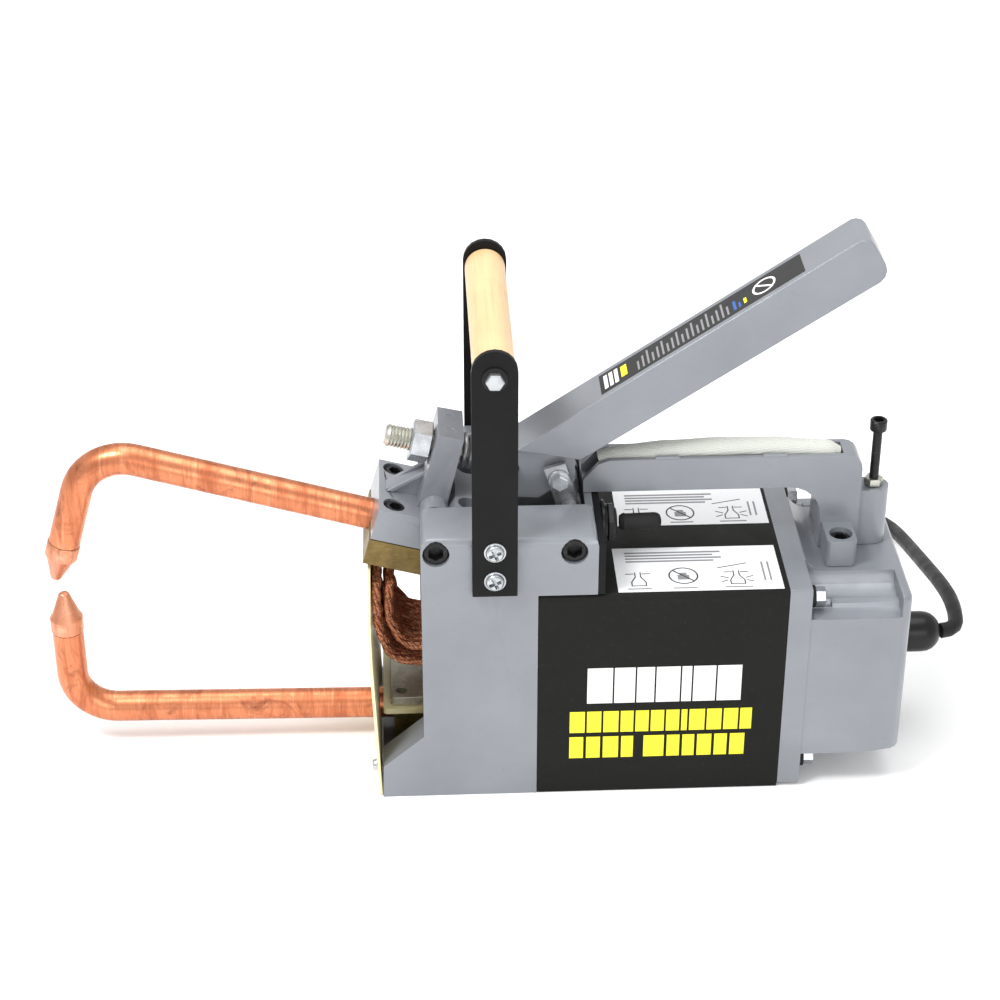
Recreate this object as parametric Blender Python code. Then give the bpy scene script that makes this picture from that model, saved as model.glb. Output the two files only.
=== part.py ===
"""Hand-held resistance spot welder: cast body, plier arm with copper tongs, squeeze lever.

Dimensions below are in millimetres and are turned into metres when a mesh is made.
+X runs from the tongs to the mains lead, +Z is up, and the tongs lie in the plane Y = 0.
Lengths along X are counted from the seam between the front casting and the wrapped cover.
"""
import math

import bmesh
import bpy
from mathutils import Matrix, Vector

MM = 0.001
GAP = 0.3                     # between pieces that touch
DATUM_X = 31.825              # seam's place in the finished frame, which is centred on the box

# body
HALF_WIDTH = 60.0
WALL = 4.0
FOOT_FRONT = -80.4
EAR_FRONT, EAR_REAR = -58.6, 29.5
EAR_TOP = 156.0
CHANNEL_HALF = 27.0           # half the gap between the ears
WRAP_LENGTH, WRAP_TOP = 126.0, 122.4
FLANGE_REAR = 137.7
COVER_REAR, COVER_TOP, COVER_FOOT = 189.7, 115.8, 20.5

# linkage, as (x, z) points in the plane of the tongs
ARM_PIVOT = (-51.0, 148.4)
LINK_PIVOT = (17.5, 148.2)
LEVER_PIN = (-12.0, 168.0)
LINK_BOLT = (12.4, 164.5)
ARM_TILT = math.radians(15.5)
ROD_TILT = math.radians(14.0)
SHAFT_R = 5.0
RUNNING = 0.1                 # radial clearance of a shaft in its bore

# electrodes
TONG_R = 8.2
TONG_TILT = math.radians(16.4)
LOWER_AXIS_Z = 17.0
LOWER_LEG_X = -244.8

# lever and grips
LEVER_HALF, LEVER_INNER = 13.3, 9.7
RAIL_HALF, RAIL_TOP, RAIL_BOTTOM = 8.7, 170.3, 152.2
STRAP_X, STRAP_W, STRAP_T = -22.0, 22.4, 3.0
STRAP_FOOT, STRAP_TOP = 125.5, 262.0
GRIP_Z, GRIP_R = 247.5, 10.4

# mains lead
GLAND_Z = 55.3
CORD_R = 4.15
COIL_CENTRE = (88.0, 140.0)
COIL_MEAN_R, COIL_TURN_GAP = 46.5, 8.4
PLUG = (7.0, 190.7, 12.2)

COLOURS = {
    "cast": ((0.36, 0.37, 0.39), 0.42, 0.55),
    "black": ((0.02, 0.02, 0.02), 0.45, 0.0),
    "wrap": ((0.03, 0.03, 0.028), 0.5, 0.0),
    "copper": ((0.78, 0.33, 0.2), 0.35, 0.9),
    "brass": ((0.42, 0.33, 0.15), 0.5, 0.8),
    "zinc": ((0.7, 0.72, 0.74), 0.3, 0.9),
    "steel": ((0.4, 0.4, 0.42), 0.35, 0.9),
    "wood": ((0.85, 0.66, 0.4), 0.55, 0.0),
    "panel": ((0.8, 0.7, 0.35), 0.55, 0.0),
    "sleeve": ((0.85, 0.86, 0.82), 0.8, 0.0),
    "rubber": ((0.03, 0.03, 0.03), 0.7, 0.0),
    "core": ((0.12, 0.12, 0.14), 0.5, 0.6),
    "winding": ((0.45, 0.16, 0.06), 0.4, 0.4),
}


def clear_scene():
    for obj in list(bpy.data.objects):
        bpy.data.objects.remove(obj, do_unlink=True)


def material(name, finish):
    """The Principled material of one piece, in one of the finishes."""
    colour, roughness, metallic = COLOURS[finish]
    made = bpy.data.materials.new(name)
    made.use_nodes = True
    shader = made.node_tree.nodes["Principled BSDF"]
    shader.inputs["Base Color"].default_value = (*colour, 1.0)
    shader.inputs["Roughness"].default_value = roughness
    shader.inputs["Metallic"].default_value = metallic
    return made


def pivot(name, x, z, tilt=0.0, parent=None):
    """An empty on a joint's axis, which the moving pieces are parented to."""
    empty = bpy.data.objects.new(name, None)
    bpy.context.collection.objects.link(empty)
    empty.rotation_euler = (0.0, tilt, 0.0)
    if parent is None:
        empty.location = ((x + DATUM_X) * MM, 0.0, z * MM)
    else:
        empty.location = (x * MM, 0.0, z * MM)
        empty.parent = parent
    return empty


def finish_mesh(name, bm, finish, parent, smooth=True):
    """Turns a bmesh in millimetres into a named object under its parent."""
    bmesh.ops.scale(bm, vec=(MM, MM, MM), verts=bm.verts)
    bmesh.ops.recalc_face_normals(bm, faces=bm.faces)
    mesh = bpy.data.meshes.new(name)
    bm.to_mesh(mesh)
    bm.free()
    if smooth:
        mesh.shade_smooth()
        mesh.set_sharp_from_angle(angle=math.radians(35))
    obj = bpy.data.objects.new(name, mesh)
    bpy.context.collection.objects.link(obj)
    mesh.materials.append(material(name, finish))
    obj.parent = parent
    return obj


AXES = {"X": (1, 2, 0), "Y": (0, 2, 1), "Z": (0, 1, 2)}


def prism_bmesh(outline, along, low, high):
    """A solid whose outline lies across one axis and which runs along it from low to high."""
    a, b, c = AXES[along]
    bm = bmesh.new()
    ends = []
    for level in (low, high):
        ring = []
        for u, v in outline:
            point = [0.0, 0.0, 0.0]
            point[a], point[b], point[c] = u, v, level
            ring.append(bm.verts.new(point))
        ends.append(ring)
    count = len(outline)
    bm.faces.new(ends[0])
    bm.faces.new(list(reversed(ends[1])))
    for i in range(count):
        j = (i + 1) % count
        bm.faces.new((ends[0][i], ends[1][i], ends[1][j], ends[0][j]))
    return bm


def prism(name, outline, along, low, high, finish="cast", parent=None):
    return finish_mesh(name, prism_bmesh(outline, along, low, high), finish, parent)


def box(name, low, high, finish="cast", parent=None):
    outline = [(low[0], low[1]), (high[0], low[1]), (high[0], high[1]), (low[0], high[1])]
    return prism(name, outline, "Z", low[2], high[2], finish, parent)


def arc(cx, cy, r, start, end, steps):
    """Points on a circle from one angle to another, in degrees."""
    return [(cx + r * math.cos(math.radians(start + (end - start) * i / steps)),
             cy + r * math.sin(math.radians(start + (end - start) * i / steps)))
            for i in range(steps + 1)]


def rounded(low, high, r, steps=3):
    """A rectangle with round corners."""
    (x0, y0), (x1, y1) = low, high
    return (arc(x1 - r, y1 - r, r, 0, 90, steps) + arc(x0 + r, y1 - r, r, 90, 180, steps)
            + arc(x0 + r, y0 + r, r, 180, 270, steps) + arc(x1 - r, y0 + r, r, 270, 360, steps))


def turned(name, profile, centre, along, finish, parent=None, sides=20, tilt=0.0):
    """A solid of revolution: (distance along the axis, radius) pairs, first and last on a flat end."""
    bm = bmesh.new()
    a, b, c = AXES[along]
    rings = []
    for length, radius in profile:
        ring = []
        for i in range(sides):
            angle = 2 * math.pi * i / sides
            point = [0.0, 0.0, 0.0]
            point[a] = radius * math.cos(angle)
            point[b] = radius * math.sin(angle)
            point[c] = length
            ring.append(bm.verts.new(point))
        rings.append(ring)
    bm.faces.new(rings[0])
    bm.faces.new(list(reversed(rings[-1])))
    for lower, upper in zip(rings, rings[1:]):
        for i in range(sides):
            j = (i + 1) % sides
            bm.faces.new((lower[i], upper[i], upper[j], lower[j]))
    bmesh.ops.rotate(bm, cent=(0, 0, 0), matrix=Matrix.Rotation(tilt, 3, "Y"), verts=bm.verts)
    bmesh.ops.translate(bm, vec=centre, verts=bm.verts)
    return finish_mesh(name, bm, finish, parent)


def cylinder(name, centre, along, r, low, high, finish="steel", parent=None, sides=16, tilt=0.0):
    return turned(name, [(low, r), (high, r)], centre, along, finish, parent, sides, tilt)


def combine(obj, operation, *tools):
    """Booleans that stay on the object; their tools are hidden wire guides."""
    for tool in tools:
        tool.hide_render = True
        tool.display_type = "WIRE"
        modifier = obj.modifiers.new(operation.lower(), "BOOLEAN")
        modifier.operation = operation
        modifier.solver = "EXACT"
        modifier.object = tool
    return obj


def cut(obj, *tools):
    return combine(obj, "DIFFERENCE", *tools)


def weld(obj, *tools):
    return combine(obj, "UNION", *tools)


def bend_path(start, corner, end, r, steps):
    """Start to end by way of a corner rounded to radius r, in the plane of the tongs."""
    start, corner, end = Vector(start), Vector(corner), Vector(end)
    back = (start - corner).normalized()
    ahead = (end - corner).normalized()
    half = back.angle(ahead) / 2
    reach = r / math.tan(half)
    centre = corner + (back + ahead).normalized() * r / math.sin(half)
    first = corner + back * reach - centre
    last = corner + ahead * reach - centre
    sweep = first.angle(last)
    points = [start]
    for i in range(steps + 1):
        part = sweep * i / steps
        points.append(centre + (first * math.sin(sweep - part) + last * math.sin(part)) / math.sin(sweep))
    return points + [end]


def swept(name, points, radius, finish, parent, resolution=4):
    """A round bar or cord along points, as a bevelled poly curve with filled ends."""
    curve = bpy.data.curves.new(name, "CURVE")
    curve.dimensions = "3D"
    curve.bevel_depth = radius * MM
    curve.bevel_resolution = resolution
    curve.use_fill_caps = True
    spline = curve.splines.new("POLY")
    spline.points.add(len(points) - 1)
    for place, point in zip(spline.points, points):
        place.co = (point[0] * MM, point[1] * MM, point[2] * MM, 1.0)
    curve.materials.append(material(name, finish))
    obj = bpy.data.objects.new(name, curve)
    bpy.context.collection.objects.link(obj)
    obj.parent = parent
    return obj


def in_arm(x, z):
    """A point of the resting body, seen in the tilted frame of the upper arm."""
    dx, dz = x - ARM_PIVOT[0], z - ARM_PIVOT[1]
    return (dx * math.cos(ARM_TILT) - dz * math.sin(ARM_TILT),
            dx * math.sin(ARM_TILT) + dz * math.cos(ARM_TILT))


def lever_top(x):
    """Height of the lever's flat top above a place on the body."""
    return 209.5 + 0.672 * (x - 35.0)


# ---------------------------------------------------------------- body

def front_casting(base):
    outline = [(FOOT_FRONT, 0), (-GAP, 0), (-GAP, WRAP_TOP + 0.8), (EAR_REAR, WRAP_TOP + 0.8),
               (EAR_REAR, EAR_TOP), (EAR_FRONT, EAR_TOP), (EAR_FRONT, 38), (FOOT_FRONT + 0.6, 19.4)]
    bm = prism_bmesh(outline, "Y", -HALF_WIDTH, HALF_WIDTH)
    ridge = [e for e in bm.edges
             if all(v.co.z > EAR_TOP - 1 and abs(v.co.y) > HALF_WIDTH - 1 for v in e.verts)]
    bmesh.ops.bevel(bm, geom=ridge, offset=4.5, segments=3, profile=0.5, affect="EDGES")
    casting = finish_mesh("front_casting", bm, "cast", base)
    floor, ear_floor = 5.0, 118.0
    inner = HALF_WIDTH - WALL
    cut(casting,
        box("cut_channel", (-100, -CHANNEL_HALF, ear_floor), (EAR_REAR - WALL, CHANNEL_HALF, 170), parent=base),
        box("cut_over_web", (0, -CHANNEL_HALF, RAIL_BOTTOM - GAP), (60, CHANNEL_HALF, 170), parent=base),
        box("cut_inside", (EAR_FRONT + WALL, -inner, floor), (10, inner, ear_floor + 1), parent=base),
        box("cut_mouth", (-100, -42, floor), (-50, 42, ear_floor + 1), parent=base))
    for side in (-1, 1):
        near, far = sorted((side * (CHANNEL_HALF + WALL), side * inner))
        cut(casting, box("cut_ear", (EAR_FRONT + WALL, near, ear_floor - 8), (EAR_REAR - WALL, far, EAR_TOP - WALL),
                         parent=base))
        near, far = sorted((side * (CHANNEL_HALF + 2), side * (HALF_WIDTH - 2)))
        for label, (x, z) in (("arm", ARM_PIVOT), ("link", LINK_PIVOT)):
            weld(casting, cylinder("boss_" + label, (x, 0, z - 0.9), "Y", 6.6, near, far, parent=base))
        strap_low, strap_high = sorted((side * 46, side * (HALF_WIDTH - 2)))
        weld(casting, box("boss_strap", (STRAP_X - 9, strap_low, 126), (STRAP_X + 9, strap_high, EAR_TOP - 2),
                          parent=base))
        low, high = sorted((side * 20, side * 70))
        sink_low, sink_high = sorted((side * 50.5, side * 70))
        for label, (x, z) in (("arm", ARM_PIVOT), ("link", LINK_PIVOT)):
            cut(casting,
                cylinder("bore_" + label, (x, 0, z), "Y", SHAFT_R + RUNNING, low, high, parent=base),
                cylinder("sink_" + label, (x, 0, z), "Y", 6.8, sink_low, sink_high, parent=base))
        tap_low, tap_high = sorted((side * 48.5, side * 70))
        for z in strap_screw_heights():
            cut(casting, cylinder("tap_strap", (STRAP_X, 0, z), "Y", 3.3, tap_low, tap_high, parent=base))
    return casting


def strap_screw_heights():
    return (134.7, 152.0 - 0.6)


def front_panel(base):
    """A thin insulating sheet that bows forward over the braid, with a hole for the lower tong."""
    bow = [(0.6, -82.3), (20, -83.0), (40, -83.8), (60, -84.6), (80, -85.4), (95, -85.7), (108, -85.8), (119, -85.6)]
    outline = [(x, z) for z, x in bow] + [(x + 1.5, z) for z, x in reversed(bow)]
    panel = prism("front_panel", outline, "Y", -58.5, 58.5, "panel", base)
    for side in (-1, 1):
        corner = [(side * 42.5, 119)] + [(side * y, z) for y, z in arc(42.5, 103, 16, 90, 0, 5)]
        corner += [(side * 70, 103), (side * 70, 130), (side * 42.5, 130)]
        cut(panel, prism("cut_corner", corner, "X", -100, -60, parent=base))
    return cut(panel,
               cylinder("cut_tong", (0, 0, LOWER_AXIS_Z + 0.8), "X", TONG_R + 1.3, -100, -60, parent=base))


def wrap_cover(base):
    """A sheet folded right round the transformer, with its seam underneath."""
    t = 1.4
    outer = [(-HALF_WIDTH, 0.4)] + arc(-HALF_WIDTH + 3, WRAP_TOP - 3, 3, 180, 90, 3)
    outer += arc(HALF_WIDTH - 3, WRAP_TOP - 3, 3, 90, 0, 3) + [(HALF_WIDTH, 0.4)]
    sheet = prism("wrap_cover", outer, "X", 0, WRAP_LENGTH, "wrap", base)
    return cut(sheet, box("cut_wrap", (-5, -HALF_WIDTH + t, 0.4 + t), (WRAP_LENGTH + 5, HALF_WIDTH - t, WRAP_TOP - t),
                          parent=base))


BOLT_Y, BOLT_TOP = 49.5, 112.2
LUG_X, STOP_X = 157.4, 176.3


def bolt_places():
    """(y, z, side, upper) of the long bolts that hold the rear cover."""
    return [(side * BOLT_Y, z, side, z > 60) for side in (-1, 1) for z in (12.3, BOLT_TOP)]


def rear_cover(base):
    flange = prism("rear_cover", rounded((-HALF_WIDTH, 1.4), (HALF_WIDTH, WRAP_TOP), 2.0), "X",
                   WRAP_LENGTH + GAP, FLANGE_REAR, "cast", base)
    bm = prism_bmesh([(FLANGE_REAR - 3, COVER_FOOT), (COVER_REAR, COVER_FOOT), (COVER_REAR, COVER_TOP),
                      (FLANGE_REAR - 3, COVER_TOP)], "Y", -HALF_WIDTH + 0.4, HALF_WIDTH - 0.4)
    corners = [e for e in bm.edges if abs(e.verts[0].co.z - e.verts[1].co.z) > 1 and e.verts[0].co.x > COVER_REAR - 1]
    bmesh.ops.bevel(bm, geom=corners, offset=7.0, segments=4, profile=0.5, affect="EDGES")
    rims = [e for e in bm.edges if e.verts[0].co.x > FLANGE_REAR and e.verts[1].co.x > FLANGE_REAR
            and e.verts[0].co.z == e.verts[1].co.z and e.calc_face_angle(0) > 1.2]
    bmesh.ops.bevel(bm, geom=rims, offset=3.2, segments=3, profile=0.5, affect="EDGES")
    ramp = [(FLANGE_REAR - 1, WRAP_TOP), (FLANGE_REAR + 0.4, WRAP_TOP), (FLANGE_REAR + 3.4, COVER_TOP + 3.2),
            (FLANGE_REAR + 6.4, COVER_TOP + 1.2), (FLANGE_REAR + 9.4, COVER_TOP), (FLANGE_REAR - 1, COVER_TOP - 8)]
    weld(flange,
         finish_mesh("cover_box", bm, "cast", base),
         prism("weld_ramp", ramp, "Y", -31.2, 31.2, parent=base))
    for side in (-1, 1):
        channel = [(31.4, 119), (32.3, 113.6), (34.8, 109.6), (38.5, 107.7), (45.0, 107.1), (46.0, 108.2),
                   (50.0, 107.8), (51.0, 105.8), (56, 104.6), (64, 104.0), (64, 119)]
        channel = [(side * y, z) for y, z in channel]
        cut(flange,
            prism("cut_channel", channel, "X", FLANGE_REAR, COVER_REAR - 5.6, parent=base),
            cylinder("cut_head", (0, side * BOLT_Y, BOLT_TOP), "X", 6.4, FLANGE_REAR, FLANGE_REAR + 12, parent=base))
    cut(flange,
        box("cut_cover", (100, -HALF_WIDTH + WALL, COVER_FOOT + WALL), (COVER_REAR - WALL, HALF_WIDTH - WALL, 100),
            parent=base),
        box("cut_roof", (100, -27, 90), (COVER_REAR - WALL, 27, COVER_TOP - WALL), parent=base),
        cylinder("cut_gland", (0, 0, GLAND_Z), "X", 8.3, 150, 230, parent=base))
    for y, z, side, upper in bolt_places():
        cut(flange, cylinder("cut_bolt", (0, y, z), "X", 2.8, 100, 160, parent=base))
    for side in (-1, 1):
        cut(flange, cylinder("cut_lug_screw", (LUG_X, side * 20.0, 0), "Z", 3.3, 105, 130, parent=base))
    return flange


def grip_rail(base):
    """Fixed grip under the lever: trough for the wires, pillar, two lugs and the stop-screw boss."""
    outline = [(25.3, RAIL_BOTTOM), (25.3, 159.5), (33.0, 168.4), (38.5, RAIL_TOP)]
    outline += arc(160.3, RAIL_TOP - 8, 8, 90, 0, 4)
    outline += [(168.3, COVER_TOP + GAP), (148.2, COVER_TOP + GAP)]
    outline += arc(148.2 - 17, RAIL_BOTTOM - 17, 17, 0, 90, 6)
    rail = prism("grip_rail", outline, "Y", -RAIL_HALF, RAIL_HALF, "cast", base)
    lug = rounded((149.4, -28.2), (164.8, 28.2), 2.2, 3)
    weld(rail,
         prism("weld_lugs", lug, "Z", COVER_TOP + GAP, 131.0, parent=base),
         prism("weld_boss", arc(177.0, 0, 7.4, -100, 100, 8) + [(162, RAIL_HALF - 1.6), (162, -RAIL_HALF + 1.6)],
               "Z", COVER_TOP + GAP, 148.2, parent=base))
    cut(rail,
        prism("cut_trough", [(10, 157), (158.4, 157), (158.4, 180), (10, 180)], "Y", -5.9, 5.9, parent=base),
        cylinder("cut_stop", (STOP_X, 0, 0), "Z", 3.2, 125, 160, parent=base))
    for side in (-1, 1):
        cut(rail,
            cylinder("cut_lug", (LUG_X, side * 20.0, 0), "Z", 6.0, 120.6, 140, parent=base),
            cylinder("cut_lug_bore", (LUG_X, side * 20.0, 0), "Z", 3.3, 100, 140, parent=base))
    return rail


# ---------------------------------------------------------------- inside

def transformer(base):
    core = box("transformer_core", (12, -36, 6), (118, 36, 110), "core", base)
    for x in (28, 80):
        cut(core, box("cut_window", (x, -50, 26), (x + 22, 50, 90), parent=base))
    coil = prism("primary_coil", rounded((29, -53), (101, 53), 9), "Z", 27, 66, "winding", base)
    cut(coil, box("cut_leg", (49.6, -36.5, 0), (80.4, 36.5, 100), parent=base))
    turn = box("secondary_turn", (-36, 37.5, 70), (98, 46.5, 84), "copper", base)
    weld(turn,
         box("weld_cross", (84, -40, 70.5), (97.5, 40, 83.5), parent=base),
         box("weld_near", (-34, -46.5, 70), (98, -37.5, 84), parent=base),
         box("weld_tab", (-35, -13, 71), (-26, 40, 83), parent=base),
         box("weld_drop", (-20, -46, 39.6), (-8, -30, 78), parent=base),
         box("weld_toe", (-34, -44, 39.4), (-10, -16, 46), parent=base))


def lower_holder(base):
    block = box("lower_block", (-74, -24, 5.0 + GAP), (-12, 24, 30), "brass", base)
    cut(block, bar_between("bore_tong", (LOWER_LEG_X, LOWER_AXIS_Z + 3.2), (-13, LOWER_AXIS_Z), TONG_R + 0.3, base))
    cut(block, cylinder("bore_tail", (0, 0, LOWER_AXIS_Z), "X", TONG_R + 0.3, -20, 0, sides=20, parent=base))
    sheet = prism("insulator_sheet", rounded((-79.5, -28.5), (-10, 28.5), 2), "Z", 30 + GAP, 33.6, "panel", base)
    plate = prism("lower_plate", rounded((-75.6, -26), (-36, 26), 2), "Z", 33.6 + GAP, 39.0, "zinc", base)
    cut(plate, cylinder("cut_hole", (-69.8, -19.5, 0), "Z", 2.9, 20, 50, parent=base))
    return block, sheet


def electrode_tip(name, place, parent, turn):
    """A cone-ended copper cap on the end of a tong, along local -Z from its seat."""
    profile = [(0, TONG_R + 0.35), (-8.5, TONG_R + 0.35), (-9.3, TONG_R - 0.6), (-22.6, 2.6), (-23.4, 1.2)]
    bm = bmesh.new()
    rings = []
    sides = 12
    for length, radius in profile:
        rings.append([bm.verts.new((radius * math.cos(2 * math.pi * i / sides),
                                    radius * math.sin(2 * math.pi * i / sides), length)) for i in range(sides)])
    bm.faces.new(rings[0])
    bm.faces.new(list(reversed(rings[-1])))
    for lower, upper in zip(rings, rings[1:]):
        for i in range(sides):
            j = (i + 1) % sides
            bm.faces.new((lower[i], upper[i], upper[j], lower[j]))
    bmesh.ops.rotate(bm, cent=(0, 0, 0), matrix=Matrix.Rotation(turn, 3, "Y"), verts=bm.verts)
    bmesh.ops.translate(bm, vec=place, verts=bm.verts)
    return finish_mesh(name, bm, "copper", parent, smooth=False)


def lower_tong(base):
    leg_top = 69.8
    points = bend_path((-13, 0, LOWER_AXIS_Z), (LOWER_LEG_X, 0, LOWER_AXIS_Z + 3.2),
                       (LOWER_LEG_X, 0, leg_top), 23, 7)
    swept("lower_tong", points, TONG_R, "copper", base, resolution=3)
    electrode_tip("lower_tip", (LOWER_LEG_X, 0, leg_top + GAP), base, math.pi)


# ---------------------------------------------------------------- upper arm

def upper_arm(arm):
    """Bell crank: tong clamp in front, horn for the push rod above the pivot."""
    block = prism("upper_arm", [(-28.4, -19.2), (24, -19.2), (24, 8.6), (9, 8.6), (6, -1.2), (-28.4, -1.2)],
                  "Y", -25.4, 25.4, "cast", arm)
    weld(block,
         prism("weld_horn", [(-8.6, -9), (6.4, -9), (4.6, 42.2), (-8.6, 41.6)], "Y", -15, 15, parent=arm),
         prism("weld_rib", [(-25, -3), (-25, -0.8), (-6, 14), (-6, -3)], "Y", -4.4, 4.4, parent=arm),
         cylinder("weld_boss", (0, 0, 0), "Y", 7.5, -25.9, 25.9, sides=20, parent=arm))
    start_x, start_z = tong_point(-60)
    end_x, end_z = tong_point(80)
    bore = bar_between("cut_tong", in_arm(start_x, start_z), in_arm(end_x, end_z), TONG_R + 0.2, arm)
    cut(block, bore,
        cylinder("bore_pivot", (0, 0, 0), "Y", SHAFT_R + RUNNING, -40, 40, sides=20, parent=arm),
        rod_hole(arm))
    for lx, depth in ((-20.6, -8.5), (16, 1.0)):
        for side in (-1, 1):
            cut(block,
                cylinder("cut_sink", (lx, side * 18, 0), "Z", 5.7, depth, 20, parent=arm),
                cylinder("cut_clamp", (lx, side * 18, 0), "Z", 3.3, -30, 20, parent=arm))
    bar = box("clamp_bar", (-28.8, -25.4, -34.4), (22, 25.4, -19.8), "brass", arm)
    cut(bar, bar_between("cut_tong_bar", in_arm(start_x, start_z), in_arm(end_x, end_z), TONG_R + 0.2, arm))
    for lx in (-20.6, 16):
        for side in (-1, 1):
            cut(bar, cylinder("cut_tap", (lx, side * 18, 0), "Z", 3.3, -28, 0, parent=arm))
    for side, label in ((-1, "near"), (1, "far")):
        turned("clamp_screw_" + label, [(-27, 3.0), (-8.2, 3.0), (-8.2, 5.2), (-2.6, 5.2)],
               (-20.6, side * 18, 0), "Z", "black", arm, sides=12)
    return block


def tong_point(back):
    """A point on the upper tong's axis, a distance back from the front of its clamp."""
    return (-93.9 + back * math.cos(TONG_TILT), 140.1 - back * math.sin(TONG_TILT))


def bar_between(name, start, end, r, parent):
    """A round bar between two points in the plane of the tongs."""
    (x0, z0), (x1, z1) = start, end
    length = math.hypot(x1 - x0, z1 - z0)
    return cylinder(name, (x0, 0, z0), "X", r, 0, length, parent=parent, sides=20,
                    tilt=-math.atan2(z1 - z0, x1 - x0))


def rod_point(along):
    """A point on the push rod's axis, a distance in front of the lever pin."""
    return (LEVER_PIN[0] - along * math.cos(ROD_TILT), LEVER_PIN[1] + along * math.sin(ROD_TILT))


def rod_hole(arm):
    return bar_between("cut_rod", in_arm(*rod_point(60)), in_arm(*rod_point(14)), 7.0, arm)


def upper_tong(arm):
    """The bent copper bar, whose leg stands square to its run."""
    reach, leg = 137.2, 56.6
    ahead = Vector((-math.cos(TONG_TILT), 0, math.sin(TONG_TILT)))
    down = Vector((-math.sin(TONG_TILT), 0, -math.cos(TONG_TILT)))
    clamp = Vector((tong_point(0)[0], 0, tong_point(0)[1]))
    tail = clamp - ahead * 57
    corner = clamp + ahead * reach
    toe = corner + down * leg
    places = [Vector((in_arm(p.x, p.z)[0], 0, in_arm(p.x, p.z)[1])) for p in (tail, corner, toe, toe + down * GAP)]
    points = bend_path(places[0], places[1], places[2], 25, 7)
    swept("upper_tong", points, TONG_R, "copper", arm, resolution=3)
    electrode_tip("upper_tip", places[3], arm, TONG_TILT - ARM_TILT)


# ---------------------------------------------------------------- lever and linkage

def lever(pin):
    """Die-cast lever: a trough that comes down over the rail, with two cheeks for its pins."""
    px, pz = LEVER_PIN
    wide = [(-9.5, 179.7), (5.0, 177.3), (23.4, 173.6), (166.5, 268.6)]
    wide += arc(163.2, 275.4, 7.5, -50, 30, 3) + arc(158.5, 286.3, 6, 35, 115, 3)
    body = prism("lever", shifted(wide, px, pz), "Y", -LEVER_HALF, LEVER_HALF, "cast", pin)
    cheeks = arc(px, pz, 8.5, 85, 200, 6) + [(-18.4, 158.8), (-13.5, 151.6), (2.5, 150.6), (8.5, 154.9)]
    cheeks += arc(LINK_BOLT[0], LINK_BOLT[1], 8.6, 278, 372, 6) + [(20.5, 184), (-2, 182.2)]
    weld(body, prism("weld_cheeks", shifted(cheeks, px, pz), "Y", -11, 11, parent=pin))
    roof = 3.6
    trough = [(27, 160), (27, lever_top(27) - roof), (148, lever_top(148) - roof), (148, 240)]
    slot = [(-40, 140), (-40, 176.4), (-6, 176.4), (1.5, 172), (1.5, 140)]
    cut(body,
        prism("cut_trough", shifted(trough, px, pz), "Y", -LEVER_INNER, LEVER_INNER, parent=pin),
        prism("cut_slot", shifted(slot, px, pz), "Y", -6.6, 6.6, parent=pin),
        cylinder("cut_pin", (0, 0, 0), "Y", 4.0 + GAP, -30, 30, parent=pin),
        cylinder("cut_link_bolt", (LINK_BOLT[0] - px, 0, LINK_BOLT[1] - pz), "Y", 5.4, -30, 30, parent=pin))
    return body


def shifted(outline, x, z):
    return [(u - x, v - z) for u, v in outline]


def push_rod(rod):
    """Eye on the lever pin, a spring seat, and the threaded rod that passes through the horn."""
    eye = cylinder("push_rod", (0, 0, 0), "Y", 7.6, -6.0, 6.0, "zinc", rod, sides=18)
    weld(eye,
         turned("weld_rod", [(-65.2, 5.2), (-63.9, 5.9), (-11.2, 5.9), (-11.2, 9.4), (-9.7, 9.4), (-9.7, 5.8), (-4, 5.8)],
                (0, 0, 0), "X", "zinc", rod, sides=16))
    cut(eye, cylinder("bore_pin", (0, 0, 0), "Y", 4.0 + RUNNING, -20, 20, parent=rod))
    cylinder("lever_pin", (0, 0, 0), "Y", 4.0, -12.6, 12.6, "steel", rod)
    nut = hexagon("pressure_nut", 9.5, -52.0, -41.5, rod, "X")
    cut(nut, cylinder("bore_nut", (0, 0, 0), "X", 6.2, -60, -30, parent=rod))
    return eye


def hexagon(name, half_flats, low, high, parent, along, centre=(0, 0, 0), finish="zinc"):
    """A hexagonal prism; half_flats is half its width across flats."""
    corner = half_flats / math.cos(math.radians(30))
    a, b, c = AXES[along]
    outline = [(centre[a] + corner * math.cos(math.radians(30 + 60 * i)),
                centre[b] + corner * math.sin(math.radians(30 + 60 * i))) for i in range(6)]
    return prism(name, outline, along, centre[c] + low, centre[c] + high, finish, parent)


def pressure_spring(base):
    """Outer shape of the coil spring round the rod, between the horn and the rod's seat."""
    front, back = rod_point(26.4), rod_point(11.6)
    spring = bar_between("pressure_spring", front, back, 9.2, base)
    return cut(spring, bar_between("bore_spring", rod_point(30), rod_point(8), 6.6, base))


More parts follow.
